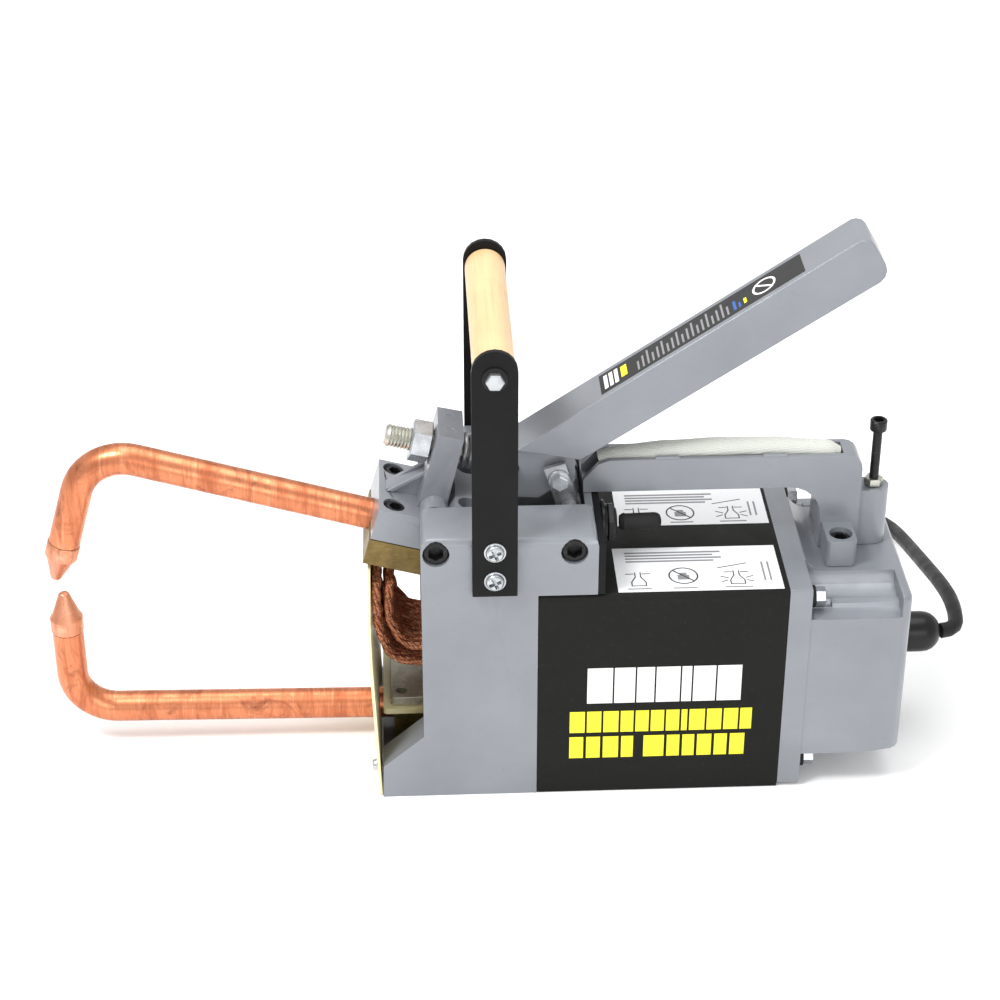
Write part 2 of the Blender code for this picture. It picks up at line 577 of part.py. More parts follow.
def swing_link(link):
    """Two plates on a bush that turns on the link shaft, joined to the lever by the link bolt."""
    dx, dz = LINK_BOLT[0] - LINK_PIVOT[0], LINK_BOLT[1] - LINK_PIVOT[1]
    bush = cylinder("swing_link", (0, 0, 0), "Y", 6.6, -16.4, 16.4, "zinc", link, sides=20)
    length = math.hypot(dx, dz)
    along, across = (dx / length, dz / length), (dz / length, -dx / length)
    corners = [(-4.6, -5.8), (length + 8, -5.6), (length + 8, 5.6), (-4.6, 5.8)]
    outline = [(along[0] * s + across[0] * t, along[1] * s + across[1] * t) for s, t in corners]
    for side in (-1, 1):
        low, high = sorted((side * 14.0, side * 16.6))
        weld(bush, prism("weld_plate", outline, "Y", low, high, parent=link))
        cut(bush, cylinder("bore_link_bolt", (dx, 0, dz), "Y", 3.3, low - 1, high + 1, parent=link))
    cut(bush, cylinder("bore_link", (0, 0, 0), "Y", SHAFT_R + RUNNING, -30, 30, parent=link))
    bolt = turned("link_bolt", [(-21.4, 3.9), (-18.2, 3.9), (-18.2, 5.8), (-16.9, 5.8), (-16.9, 3.0), (16.9, 3.0),
                                (16.9, 5.2), (20.6, 5.2)], (dx, 0, dz), "Y", "zinc", link, sides=12)
    return bush, bolt


def return_spring(base):
    """Torsion spring wound on the link shaft beside the swing link."""
    x, z = LINK_PIVOT
    spring = cylinder("return_spring", (x, 0, z), "Y", 8.0, 17.4, 25.6, "steel", base)
    return cut(spring, cylinder("bore_return", (x, 0, z), "Y", 5.4, 10, 30, parent=base))


def shafts_and_screws(base):
    for label, (x, z) in (("arm", ARM_PIVOT), ("link", LINK_PIVOT)):
        shaft = cylinder(label + "_shaft", (x, 0, z), "Y", SHAFT_R, -50, 50, "steel", base, sides=20)
        for side, where in ((-1, "near"), (1, "far")):
            low, high = sorted((side * 35, side * 60))
            cut(shaft, cylinder("tap_" + label, (x, 0, z), "Y", 3.2, low, high, parent=base))
            profile = [(side * 40, 2.9), (side * 50.9, 2.9), (side * 50.9, 6.4), (side * 58.8, 6.4)]
            screw = turned(label + "_screw_" + where, profile, (x, 0, z), "Y", "black", base)
            cut(screw, hexagon("socket", 2.6, *sorted((side * 54, side * 62)), base, "Y", (x, 0, z)))


def carrying_grip(base):
    face = HALF_WIDTH + GAP
    for side, where in ((-1, "near"), (1, "far")):
        low, high = sorted((side * face, side * (face + STRAP_T)))
        half = STRAP_W / 2
        outline = [(STRAP_X - half, STRAP_FOOT), (STRAP_X + half, STRAP_FOOT)]
        outline += arc(STRAP_X, STRAP_TOP - half, half, 0, 180, 10)
        strap = prism("strap_" + where, outline, "Y", low, high, "black", base)
        reach_low, reach_high = sorted((side * 50, side * 80))
        cut(strap, cylinder("cut_grip_bolt", (STRAP_X, 0, GRIP_Z), "Y", 3.0, reach_low, reach_high, parent=base))
        outer = face + STRAP_T
        for index, z in enumerate(strap_screw_heights()):
            cut(strap, cylinder("cut_strap", (STRAP_X, 0, z), "Y", 3.3, reach_low, reach_high, parent=base))
            profile = [(side * 49, 2.9), (side * (outer + GAP), 2.9), (side * (outer + GAP), 5.4),
                       (side * (outer + 1.6), 5.1), (side * (outer + 2.8), 3.2)]
            turned("strap_screw_%s_%d" % (where, index + 1), profile, (STRAP_X, 0, z), "Y", "zinc", base, sides=14)
        profile = [(side * 30, 2.6), (side * (outer + GAP), 2.6), (side * (outer + GAP), 6.2),
                   (side * (outer + 1.6), 6.2), (side * (outer + 1.6), 4.3), (side * (outer + 5.2), 4.1)]
        turned("grip_bolt_" + where, profile, (STRAP_X, 0, GRIP_Z), "Y", "zinc", base, sides=12)
    inside = HALF_WIDTH
    grip = turned("wooden_grip", [(-inside, GRIP_R), (inside, GRIP_R)], (STRAP_X, 0, GRIP_Z), "Y", "wood", base,
                  sides=24)
    for side in (-1, 1):
        low, high = sorted((side * 25, side * 70))
        cut(grip, cylinder("tap_grip", (STRAP_X, 0, GRIP_Z), "Y", 2.9, low, high, parent=base))


def stop_screw(base):
    screw = turned("stop_screw", [(126, 2.8), (180.4, 2.8), (180.4, 4.5), (186.2, 4.5)], (STOP_X, 0, 0), "Z", "black",
                   base, sides=14)
    cut(screw, hexagon("socket", 2.2, 183.0, 190, base, "Z", (STOP_X, 0, 0)))
    nut = hexagon("stop_lock_nut", 4.4, 148.2 + GAP, 152.4, base, "Z", (STOP_X, 0, 0))
    cut(nut, cylinder("bore_nut", (STOP_X, 0, 0), "Z", 3.0, 140, 160, parent=base))


def cover_fasteners(base):
    for y, z, side, upper in bolt_places():
        where = ("far" if side > 0 else "near") + ("_upper" if upper else "_lower")
        profile = [(118, 2.5), (FLANGE_REAR + GAP, 2.5), (FLANGE_REAR + GAP, 5.8), (FLANGE_REAR + 3.0, 5.8),
                   (FLANGE_REAR + 3.0, 4.7), (FLANGE_REAR + 8.6, 4.5)]
        turned("cover_bolt_" + where, profile, (0, y, z), "X", "zinc", base, sides=12)
    for side, where in ((-1, "near"), (1, "far")):
        turned("lug_screw_" + where, [(106, 2.9), (121.0, 2.9), (121.0, 5.2), (126.6, 5.2)],
               (LUG_X, side * 20.0, 0), "Z", "black", base, sides=12)


# ---------------------------------------------------------------- switch, wires and soft parts

SWITCH_Y, SWITCH_Z = -20.5, 141.2


def power_switch(base, toggle):
    plate = box("switch_plate", (EAR_REAR + GAP, -HALF_WIDTH + 0.4, WRAP_TOP + 0.8),
                (EAR_REAR + 3.6, HALF_WIDTH - 0.4, 151.6), "black", base)
    cut(plate, cylinder("cut_switch", (0, SWITCH_Y, SWITCH_Z), "X", 5.2, 0, 60, parent=base))
    face = EAR_REAR + 3.6
    body = turned("toggle_switch", [(23.4, 4.8), (face + GAP, 4.8), (face + GAP, 8.4), (face + 3.4, 8.4),
                                    (face + 3.4, 5.6), (face + 8.6, 5.6)],
                  (0, SWITCH_Y, SWITCH_Z), "X", "black", base, sides=16)
    nut = hexagon("toggle_nut", 8.3, face + 3.4 + GAP, face + 8.2, base, "X", (0, SWITCH_Y, SWITCH_Z), "rubber")
    cut(nut, cylinder("bore_toggle_nut", (0, SWITCH_Y, SWITCH_Z), "X", 5.9, 30, 60, parent=base))
    web = cylinder("cut_web", (0, SWITCH_Y, SWITCH_Z), "X", 5.2, 15, 33, parent=base)
    cut(bpy.data.objects["front_casting"], web)
    turned("toggle_boot", [(9.9, 3.7), (12.6, 4.4), (27.0, 4.6), (30.2, 4.2), (31.4, 2.6)],
           (0, SWITCH_Y, 0), "X", "rubber", toggle, sides=12)
    return body


def wire_sleeve(base):
    """Woven sleeve round the switch wires, lying in the rail's trough."""
    middle = [(34, 165.6), (44, 168.2), (60, 170.2), (85, 171.6), (106, 171.8), (128, 171.2), (146, 169.6),
              (157.0, 167.2)]
    points = smooth_route([(x, 0.0, z) for x, z in middle], 9.0)
    return swept("wire_sleeve", points, 5.4, "sleeve", base, resolution=2)


def copper_braid(base):
    """Flexible copper strap that hangs from the clamp bar and runs back to the secondary."""
    front = [(-82.9, 109.5), (-83.4, 98), (-82.6, 84), (-80.2, 70), (-74.6, 60), (-64, 55.6), (-50, 56.2), (-38.5, 60.5)]
    back = [(-41, 74), (-50, 70.4), (-60, 71), (-68.6, 77), (-72.6, 88), (-73.2, 100), (-72, 107.5)]
    return prism("copper_braid", front + back, "Y", -23, 23, "copper", base)


# ---------------------------------------------------------------- mains lead

ROUTE = [(220.2, 0, 55.3), (222.8, 0.3, 55.3), (225.2, 1.3, 55.3), (227.3, 2.9, 55.3), (228.9, 5.0, 55.2),
         (230.0, 7.5, 55.1), (231.2, 13.5, 54.8), (232.4, 24.0, 54.0), (233.0, 40.0, 51.8), (233.0, 64.0, 45.8),
         (232.8, 92.0, 37.2), (233.0, 120.0, 27.9), (232.8, 149.0, 18.6), (231.6, 172.0, 11.6), (227.6, 189.0, 7.3),
         (219.0, 200.6, 5.1), (205.0, 205.4, 4.4), (186.0, 204.8, 4.3), (162.0, 203.2, 4.3), (138.0, 203.0, 4.3),
         (116.0, 204.0, 4.3), (100.0, 204.6, 4.3)]


def smooth_route(points, spacing):
    """Points at an even spacing on a smooth curve through the given ones."""
    places = [Vector(p) for p in points]
    places = [places[0] * 2 - places[1]] + places + [places[-1] * 2 - places[-2]]
    fine = []
    for i in range(1, len(places) - 2):
        a, b, c, d = places[i - 1:i + 3]
        for step in range(24):
            t = step / 24
            fine.append(0.5 * ((2 * b) + (c - a) * t + (2 * a - 5 * b + 4 * c - d) * t * t
                               + (3 * b - a - 3 * c + d) * t ** 3))
    fine.append(places[-2])
    route, travelled = [fine[0]], 0.0
    for before, after in zip(fine, fine[1:]):
        travelled += (after - before).length
        if travelled >= spacing:
            route.append(after)
            travelled = 0.0
    if travelled < spacing / 2:
        route.pop()
    return route + [fine[-1]]


def mains_lead(base):
    swept("mains_cord", smooth_route(ROUTE, 5.0), CORD_R, "rubber", base, resolution=2)
    cx, cy = COIL_CENTRE
    half = COIL_TURN_GAP + CORD_R
    coil = turned("cord_coil", [(0.2, COIL_MEAN_R + half), (2 * COIL_TURN_GAP + 0.2, COIL_MEAN_R + half)],
                  (cx, cy, 0), "Z", "rubber", base, sides=32)
    cut(coil, cylinder("bore_coil", (cx, cy, 0), "Z", COIL_MEAN_R - half, -10, 40, parent=base, sides=32))
    gland = turned("cord_gland", [(COVER_REAR - 5.4, 8.0), (COVER_REAR + GAP, 8.0), (COVER_REAR + GAP, 11.6),
                                  (COVER_REAR + 6, 11.6), (COVER_REAR + 6.8, 10.9), (COVER_REAR + 21, 10.9),
                                  (COVER_REAR + 26.2, 8.4), (COVER_REAR + 29.2, 5.6)],
                   (0, 0, GLAND_Z), "X", "black", base, sides=18)
    return gland


def plug(base):
    """Generic three-pin plug with its blades, lying flat beside the coil."""
    cx, cy, cz = PLUG
    body = prism("plug", rounded((cx - 14, cy - 13), (cx + 14, cy + 13), 5), "Z", cz - 12, cz + 12, "rubber", base)
    weld(body,
         turned("weld_relief", [(12, 10.0), (20, 8.0), (42, 5.4)], (cx, cy, cz), "X", "rubber", base, sides=12),
         cylinder("weld_pin", (0, cy, cz - 6.5), "X", 2.4, cx - 34, cx - 10, parent=base, sides=10))
    for side in (-1, 1):
        low_y, high_y = cy + side * 6.35 - 0.8, cy + side * 6.35 + 0.8
        weld(body, box("weld_blade", (cx - 32, low_y, cz + 1.5), (cx - 10, high_y, cz + 7.8), parent=base))
    return body


def build():
    clear_scene()
    base = pivot("base", 0.0, 0.0)
    front_casting(base)
    front_panel(base)
    wrap_cover(base)
    rear_cover(base)
    grip_rail(base)
    transformer(base)
    lower_holder(base)
    lower_tong(base)
    arm = pivot("arm_axis", *ARM_PIVOT, tilt=ARM_TILT)
    upper_arm(arm)
    upper_tong(arm)
    rod = pivot("rod_axis", *LEVER_PIN, tilt=ROD_TILT)
    push_rod(rod)
    pin = pivot("lever_axis", *LEVER_PIN)
    lever(pin)
    link = pivot("link_axis", *LINK_PIVOT)
    swing_link(link)
    pressure_spring(base)
    return_spring(base)
    shafts_and_screws(base)
    carrying_grip(base)
    stop_screw(base)
    cover_fasteners(base)
    toggle = pivot("toggle_axis", EAR_REAR + 3.6, SWITCH_Z)
    power_switch(base, toggle)
    wire_sleeve(base)
    copper_braid(base)
    mains_lead(base)
    plug(base)


build()
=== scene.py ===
import math
import random

import bmesh
import bpy
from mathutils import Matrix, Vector


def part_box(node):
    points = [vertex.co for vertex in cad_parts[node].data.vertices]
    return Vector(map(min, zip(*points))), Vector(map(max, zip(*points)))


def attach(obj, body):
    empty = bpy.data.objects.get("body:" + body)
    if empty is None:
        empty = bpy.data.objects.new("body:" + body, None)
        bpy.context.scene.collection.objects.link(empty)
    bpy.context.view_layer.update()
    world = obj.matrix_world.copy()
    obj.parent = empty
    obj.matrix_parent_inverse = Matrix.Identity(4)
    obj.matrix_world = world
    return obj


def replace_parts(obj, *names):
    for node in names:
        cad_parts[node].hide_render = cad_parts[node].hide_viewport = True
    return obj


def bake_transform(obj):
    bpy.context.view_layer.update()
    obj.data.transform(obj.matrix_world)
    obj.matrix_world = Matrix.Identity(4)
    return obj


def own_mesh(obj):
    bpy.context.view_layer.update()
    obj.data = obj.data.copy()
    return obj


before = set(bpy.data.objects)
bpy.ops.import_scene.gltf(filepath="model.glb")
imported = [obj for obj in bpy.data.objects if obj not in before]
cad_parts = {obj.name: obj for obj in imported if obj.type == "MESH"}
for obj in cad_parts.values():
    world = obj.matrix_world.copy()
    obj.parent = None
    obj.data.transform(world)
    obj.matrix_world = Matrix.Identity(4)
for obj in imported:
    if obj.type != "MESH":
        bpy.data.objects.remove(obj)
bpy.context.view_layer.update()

MM = 0.001
DATUM_X = 31.825          # body seam in the row frame, as in the CAD source
TAU = 2 * math.pi

# ------------------------------------------------------------------ places, in mm from the body seam

ARM_PIVOT = (-51.0, 148.4)
LINK_PIVOT = (17.5, 148.2)
LEVER_PIN = (-12.0, 168.0)
LINK_BOLT = (12.4, 164.5)
ARM_TILT = math.radians(15.5)
ROD_TILT = math.radians(14.0)
TONG_TILT = math.radians(16.4)
TONG_R = 8.2
GRIP_Z = 247.5
GLAND_Z = 55.3
COVER_REAR = 189.7
WRAP_TOP = 122.4
CORD_R = 4.15
WRAP_LENGTH, FLANGE_REAR, EAR_REAR = 126.0, 137.7, 29.5
BOLT_Y, BOLT_TOP = 49.5, 112.2
LUG_X, STOP_X = 157.4, 176.3
STRAP_X = -22.0
SWITCH_Y, SWITCH_Z = -20.5, 141.2
COIL_CENTRE = (88.0, 140.0)
PLUG = (7.0, 190.7, 12.2)


def at(x, y, z):
    """A place measured from the body seam, in the row frame."""
    return Vector(((x + DATUM_X) * MM, y * MM, z * MM))


# ------------------------------------------------------------------ materials

class Finish:
    """A node material built up in steps; textures read object coordinates in metres."""

    def __init__(self, name, colour, rough, metal=0.0, **sockets):
        self.material = bpy.data.materials.new(name)
        self.material.use_nodes = True
        self.nodes = self.material.node_tree.nodes
        self.links = self.material.node_tree.links
        self.shader = self.nodes["Principled BSDF"]
        self.shader.inputs["Base Color"].default_value = (*colour, 1)
        self.shader.inputs["Roughness"].default_value = rough
        self.shader.inputs["Metallic"].default_value = metal
        for socket, value in sockets.items():
            self.shader.inputs[socket.replace("_", " ")].default_value = value
        self.coords = self.nodes.new("ShaderNodeTexCoord").outputs["Object"]
        self.colour = None
        self.normal = None

    def mapped(self, stretch=(1, 1, 1), turn=(0, 0, 0)):
        mapping = self.nodes.new("ShaderNodeMapping")
        mapping.inputs["Scale"].default_value = stretch
        mapping.inputs["Rotation"].default_value = turn
        self.links.new(self.coords, mapping.inputs["Vector"])
        return mapping.outputs["Vector"]

    def noise(self, scale, detail, rough=0.55, stretch=(1, 1, 1), twist=0.0):
        node = self.nodes.new("ShaderNodeTexNoise")
        node.inputs["Scale"].default_value = scale
        node.inputs["Detail"].default_value = detail
        node.inputs["Roughness"].default_value = rough
        node.inputs["Distortion"].default_value = twist
        self.links.new(self.mapped(stretch), node.inputs["Vector"])
        return node.outputs["Fac"]

    def cells(self, scale):
        """A shade that is even in each cell."""
        node = self.nodes.new("ShaderNodeTexVoronoi")
        node.inputs["Scale"].default_value = scale
        self.links.new(self.mapped(), node.inputs["Vector"])
        return node.outputs["Color"]

    def bands(self, scale, direction, distort, detail, turn=(0, 0, 0)):
        node = self.nodes.new("ShaderNodeTexWave")
        node.bands_direction = direction
        node.inputs["Scale"].default_value = scale
        node.inputs["Distortion"].default_value = distort
        node.inputs["Detail"].default_value = detail
        node.inputs["Detail Scale"].default_value = 1.5
        self.links.new(self.mapped(turn=turn), node.inputs["Vector"])
        return node.outputs["Fac"]

    def ramp(self, source, low, high, low_value, high_value):
        node = self.nodes.new("ShaderNodeMapRange")
        node.inputs["From Min"].default_value = low
        node.inputs["From Max"].default_value = high
        node.inputs["To Min"].default_value = low_value
        node.inputs["To Max"].default_value = high_value
        self.links.new(source, node.inputs["Value"])
        return node.outputs["Result"]

    def times(self, a, b):
        node = self.nodes.new("ShaderNodeMath")
        node.operation = "MULTIPLY"
        self.links.new(a, node.inputs[0])
        self.links.new(b, node.inputs[1])
        return node.outputs[0]

    def tint(self, mask, colour):
        """Paints colour over what is there, where mask is 1."""
        mix = self.nodes.new("ShaderNodeMix")
        mix.data_type = "RGBA"
        sockets = [s for s in mix.inputs if s.type == "RGBA"]
        if self.colour is None:
            sockets[0].default_value = self.shader.inputs["Base Color"].default_value
        else:
            self.links.new(self.colour, sockets[0])
        sockets[1].default_value = (*colour, 1)
        self.links.new(mask, mix.inputs["Factor"])
        self.colour = [s for s in mix.outputs if s.type == "RGBA"][0]
        self.links.new(self.colour, self.shader.inputs["Base Color"])

    def roughness(self, source, low, high, low_value, high_value):
        self.links.new(self.ramp(source, low, high, low_value, high_value), self.shader.inputs["Roughness"])

    def bump(self, source, height_mm, strength):
        node = self.nodes.new("ShaderNodeBump")
        node.inputs["Strength"].default_value = strength
        node.inputs["Distance"].default_value = height_mm * MM
        self.links.new(source, node.inputs["Height"])
        if self.normal is not None:
            self.links.new(self.normal, node.inputs["Normal"])
        self.normal = node.outputs["Normal"]
        self.links.new(self.normal, self.shader.inputs["Normal"])


def cast_paint():
    f = Finish("cast_paint", (0.195, 0.208, 0.230), 0.42, 0.30, Coat_Weight=0.35, Coat_Roughness=0.16)
    f.tint(f.ramp(f.noise(14, 3), 0.35, 0.7, 0.0, 0.55), (0.275, 0.29, 0.315))
    f.tint(f.ramp(f.noise(260, 5, 0.7), 0.60, 0.78, 0.0, 0.45), (0.165, 0.175, 0.195))
    f.roughness(f.noise(90, 4), 0.3, 0.7, 0.30, 0.44)
    f.bump(f.noise(420, 3, 0.6), 0.10, 0.55)
    f.bump(f.noise(70, 2), 0.25, 0.35)
    return f.material


def black_paint():
    f = Finish("satin_black", (0.006, 0.006, 0.0065), 0.45, 0.0, Specular_IOR_Level=0.13)
    f.tint(f.ramp(f.noise(35, 4), 0.45, 0.75, 0.0, 0.6), (0.010, 0.010, 0.0105))
    f.roughness(f.noise(60, 4), 0.3, 0.7, 0.34, 0.5)
    f.bump(f.noise(700, 2), 0.06, 0.5)
    return f.material


def wrap_paint():
    f = Finish("wrap_paint", (0.008, 0.0083, 0.0072), 0.5, 0.0, Specular_IOR_Level=0.12)
    f.tint(f.ramp(f.noise(300, 5, 0.7), 0.56, 0.72, 0.0, 0.6), (0.019, 0.020, 0.017))
    f.tint(f.ramp(f.noise(25, 4), 0.5, 0.8, 0.0, 0.5), (0.012, 0.0125, 0.011))
    f.roughness(f.noise(50, 4), 0.3, 0.7, 0.40, 0.58)
    f.bump(f.noise(900, 2), 0.06, 0.5)
    return f.material


def copper():
    """Bent and filed copper bar: streaks, dark oxide in patches and bright filed spots."""
    f = Finish("copper_bar", (0.60, 0.215, 0.105), 0.34, 0.88)
    streak = f.noise(130, 6, 0.75, stretch=(1.0, 0.16, 0.16), twist=0.6)
    f.tint(f.ramp(streak, 0.47, 0.62, 0.0, 0.75), (0.38, 0.105, 0.045))
    fine = f.noise(420, 4, 0.8, stretch=(1.0, 0.10, 0.10))
    f.tint(f.ramp(fine, 0.54, 0.68, 0.0, 0.5), (0.82, 0.38, 0.22))
    patch = f.noise(48, 6, 0.7, twist=1.2)
    f.tint(f.ramp(patch, 0.56, 0.70, 0.0, 0.7), (0.20, 0.055, 0.028))
    f.roughness(streak, 0.35, 0.7, 0.24, 0.46)
    f.bump(fine, 0.10, 0.5)
    f.bump(f.noise(60, 3), 0.5, 0.3)
    return f.material


def tip_copper():
    f = Finish("tip_copper", (0.66, 0.28, 0.165), 0.38, 0.85)
    scratch = f.noise(500, 5, 0.8, stretch=(1, 1, 0.12))
    f.tint(f.ramp(scratch, 0.48, 0.66, 0.0, 0.6), (0.42, 0.15, 0.08))
    f.tint(f.ramp(f.noise(160, 5, 0.7), 0.55, 0.7, 0.0, 0.6), (0.80, 0.45, 0.31))
    f.roughness(scratch, 0.3, 0.7, 0.28, 0.5)
    f.bump(scratch, 0.08, 0.6)
    return f.material


def bronze():
    f = Finish("bronze", (0.215, 0.15, 0.052), 0.5, 0.72)
    f.tint(f.ramp(f.noise(90, 5, 0.7), 0.42, 0.66, 0.0, 0.75), (0.085, 0.058, 0.022))
    f.tint(f.ramp(f.noise(420, 4, 0.8, stretch=(0.15, 1, 1)), 0.55, 0.7, 0.0, 0.45), (0.40, 0.30, 0.13))
    f.roughness(f.noise(140, 4), 0.3, 0.7, 0.36, 0.6)
    f.bump(f.noise(500, 3), 0.1, 0.5)
    return f.material


def zinc(name="zinc", yellow=0.0):
    f = Finish(name, (0.50, 0.52 - 0.05 * yellow, 0.54 - 0.20 * yellow), 0.3, 0.9)
    f.tint(f.ramp(f.noise(160, 4), 0.45, 0.65, 0.0, 0.6), (0.30, 0.31 - 0.03 * yellow, 0.33 - 0.14 * yellow))
    f.roughness(f.noise(200, 4), 0.3, 0.7, 0.22, 0.42)
    f.bump(f.noise(900, 2), 0.03, 0.5)
    return f.material


def spangled_plate():
    f = Finish("spangled_plate", (0.50, 0.48, 0.40), 0.42, 0.75)
    f.tint(f.ramp(f.cells(260), 0.3, 0.8, 0.0, 0.6), (0.34, 0.33, 0.27))
    f.tint(f.ramp(f.noise(600, 5, 0.8), 0.56, 0.68, 0.0, 0.9), (0.72, 0.70, 0.62))
    f.tint(f.ramp(f.noise(500, 5, 0.8), 0.60, 0.72, 0.0, 0.9), (0.12, 0.10, 0.06))
    f.bump(f.noise(500, 3), 0.08, 0.6)
    return f.material


def steel():
    shade = 0.34
    f = Finish("steel", (shade, shade, shade * 1.03), 0.33, 0.9)
    f.tint(f.ramp(f.noise(180, 4), 0.45, 0.7, 0.0, 0.6), (shade * 0.5, shade * 0.48, shade * 0.46))
    f.roughness(f.noise(300, 4), 0.3, 0.7, 0.25, 0.45)
    f.bump(f.noise(900, 2), 0.03, 0.5)
    return f.material


def black_oxide():
    f = Finish("black_oxide", (0.008, 0.008, 0.009), 0.34, 0.2, Specular_IOR_Level=0.3)
    f.tint(f.ramp(f.noise(300, 4), 0.55, 0.72, 0.0, 0.6), (0.045, 0.045, 0.048))
    f.roughness(f.noise(300, 3), 0.3, 0.7, 0.24, 0.42)
    f.bump(f.noise(1200, 2), 0.03, 0.5)
    return f.material


def rubber(name="rubber", rough=0.62):
    f = Finish(name, (0.007, 0.007, 0.007), rough, 0.0, Specular_IOR_Level=0.25)
    f.tint(f.ramp(f.noise(60, 4), 0.45, 0.7, 0.0, 0.6), (0.015, 0.015, 0.015))
    f.roughness(f.noise(120, 3), 0.3, 0.7, rough - 0.1, rough + 0.1)
    f.bump(f.noise(1500, 2), 0.04, 0.5)
    return f.material


def moulding():
    f = Finish("black_moulding", (0.007, 0.007, 0.008), 0.34, 0.0, Specular_IOR_Level=0.28)
    f.tint(f.ramp(f.noise(80, 3), 0.45, 0.7, 0.0, 0.6), (0.013, 0.013, 0.014))
    f.roughness(f.noise(80, 3), 0.3, 0.7, 0.28, 0.42)
    f.bump(f.noise(1100, 2), 0.04, 0.4)
    return f.material


def wood():
    """Pale turned wood with its grain along Y."""
    f = Finish("pale_wood", (0.66, 0.45, 0.235), 0.42, 0.0, Coat_Weight=0.25, Coat_Roughness=0.25)
    grain = f.noise(330, 6, 0.7, stretch=(1.0, 0.045, 1.0), twist=0.4)
    f.tint(f.ramp(grain, 0.42, 0.68, 0.0, 0.55), (0.55, 0.33, 0.15))
    pores = f.noise(1300, 4, 0.7, stretch=(1.0, 0.03, 1.0))
    f.tint(f.ramp(pores, 0.58, 0.70, 0.0, 0.45), (0.50, 0.29, 0.12))
    f.tint(f.ramp(f.noise(30, 3), 0.45, 0.75, 0.0, 0.4), (0.74, 0.53, 0.29))
    f.roughness(grain, 0.3, 0.7, 0.36, 0.5)
    f.bump(pores, 0.03, 0.5)
    return f.material


def fibre_panel():
    """Cream glass-and-resin sheet; the cut edge and the face show faint fibres."""
    f = Finish("fibre_panel", (0.80, 0.72, 0.42), 0.36, 0.0, Coat_Weight=0.2, Coat_Roughness=0.2)
    weave_a = f.bands(260, "Y", 1.0, 1.0)
    weave_b = f.bands(260, "Z", 1.0, 1.0)
    f.tint(f.ramp(f.times(weave_a, weave_b), 0.2, 0.8, 0.0, 0.4), (0.86, 0.79, 0.52))
    f.tint(f.ramp(f.noise(60, 5), 0.5, 0.72, 0.0, 0.5), (0.70, 0.58, 0.26))
    f.roughness(f.noise(90, 3), 0.3, 0.7, 0.3, 0.44)
    f.bump(f.times(weave_a, weave_b), 0.03, 0.5)
    return f.material


def white_weave():
    """Woven glass sleeve."""
    f = Finish("white_weave", (0.60, 0.61, 0.565), 0.85, 0.0)
    slant_a = f.bands(330, "DIAGONAL", 0.8, 1.0, turn=(0, 0, 0.6))
    slant_b = f.bands(330, "DIAGONAL", 0.8, 1.0, turn=(0, 0, -0.9))
    both = f.times(slant_a, slant_b)
    f.tint(f.ramp(both, 0.0, 0.5, 0.5, 0.0), (0.42, 0.44, 0.41))
    f.tint(f.ramp(f.noise(40, 4), 0.5, 0.75, 0.0, 0.5), (0.52, 0.52, 0.45))
    f.bump(both, 0.22, 0.7)
    return f.material


def varnished_winding():
    f = Finish("varnished_winding", (0.40, 0.13, 0.05), 0.3, 0.5, Coat_Weight=0.5)
    turns = f.bands(330, "Z", 0.0, 0.0)
    f.tint(f.ramp(turns, 0.0, 0.4, 0.7, 0.0), (0.12, 0.035, 0.015))
    f.bump(turns, 0.4, 0.8)
    return f.material


def laminations():
    f = Finish("laminations", (0.08, 0.08, 0.09), 0.45, 0.6)
    sheets = f.bands(500, "Y", 0.0, 0.0)
    f.tint(f.ramp(sheets, 0.0, 0.4, 0.7, 0.0), (0.03, 0.03, 0.035))
    f.bump(sheets, 0.15, 0.8)
    return f.material


def braid_copper():
    """Flat-braided copper wire, reddened by heat."""
    f = Finish("braid_copper", (0.85, 0.38, 0.21), 0.36, 0.7)
    lay_a = f.bands(300, "DIAGONAL", 1.2, 2.0, turn=(0.5, 0, 0))
    lay_b = f.bands(300, "DIAGONAL", 1.2, 2.0, turn=(-0.9, 0, 0))
    both = f.times(lay_a, lay_b)
    f.tint(f.ramp(both, 0.0, 0.4, 0.7, 0.0), (0.30, 0.075, 0.03))
    f.tint(f.ramp(f.noise(110, 5, 0.8), 0.54, 0.68, 0.0, 0.8), (0.68, 0.34, 0.21))
    f.bump(both, 0.5, 0.9)
    return f.material


def printed(name, colour, rough):
    """Printed surface with a little unevenness."""
    f = Finish(name, colour, rough)
    darker = tuple(c * 0.82 for c in colour)
    f.tint(f.ramp(f.noise(600, 3), 0.5, 0.75, 0.0, 0.25), darker)
    f.roughness(f.noise(90, 3), 0.3, 0.7, rough - 0.06, rough + 0.06)
    f.bump(f.noise(900, 2), 0.02, 0.4)
    return f.material


CAST = cast_paint()
BLACK = black_paint()
WRAP = wrap_paint()
COPPER_RUN = copper()
TIP = tip_copper()
BRONZE = bronze()
ZINC = zinc()
ZINC_WARM = zinc("zinc_warm", 0.5)
SPANGLE = spangled_plate()
STEEL = steel()
OXIDE = black_oxide()
RUBBER = rubber()
CORD_RUBBER = rubber("cord_rubber", 0.5)
MOULDED = moulding()
WOOD = wood()
PANEL = fibre_panel()
SLEEVE = white_weave()
WINDING = varnished_winding()
CORE = laminations()
BRAID = braid_copper()
WHITE_PRINT = printed("white_print", (0.80, 0.80, 0.80), 0.4)
YELLOW_PRINT = printed("yellow_print", (0.86, 0.80, 0.02), 0.4)
BLACK_PRINT = printed("black_print", (0.012, 0.012, 0.012), 0.42)
GREY_PRINT = printed("grey_print", (0.22, 0.22, 0.23), 0.42)
BLUE_PRINT = printed("blue_print", (0.03, 0.10, 0.35), 0.42)
LABEL_WHITE = printed("label_white", (0.78, 0.79, 0.80), 0.38)


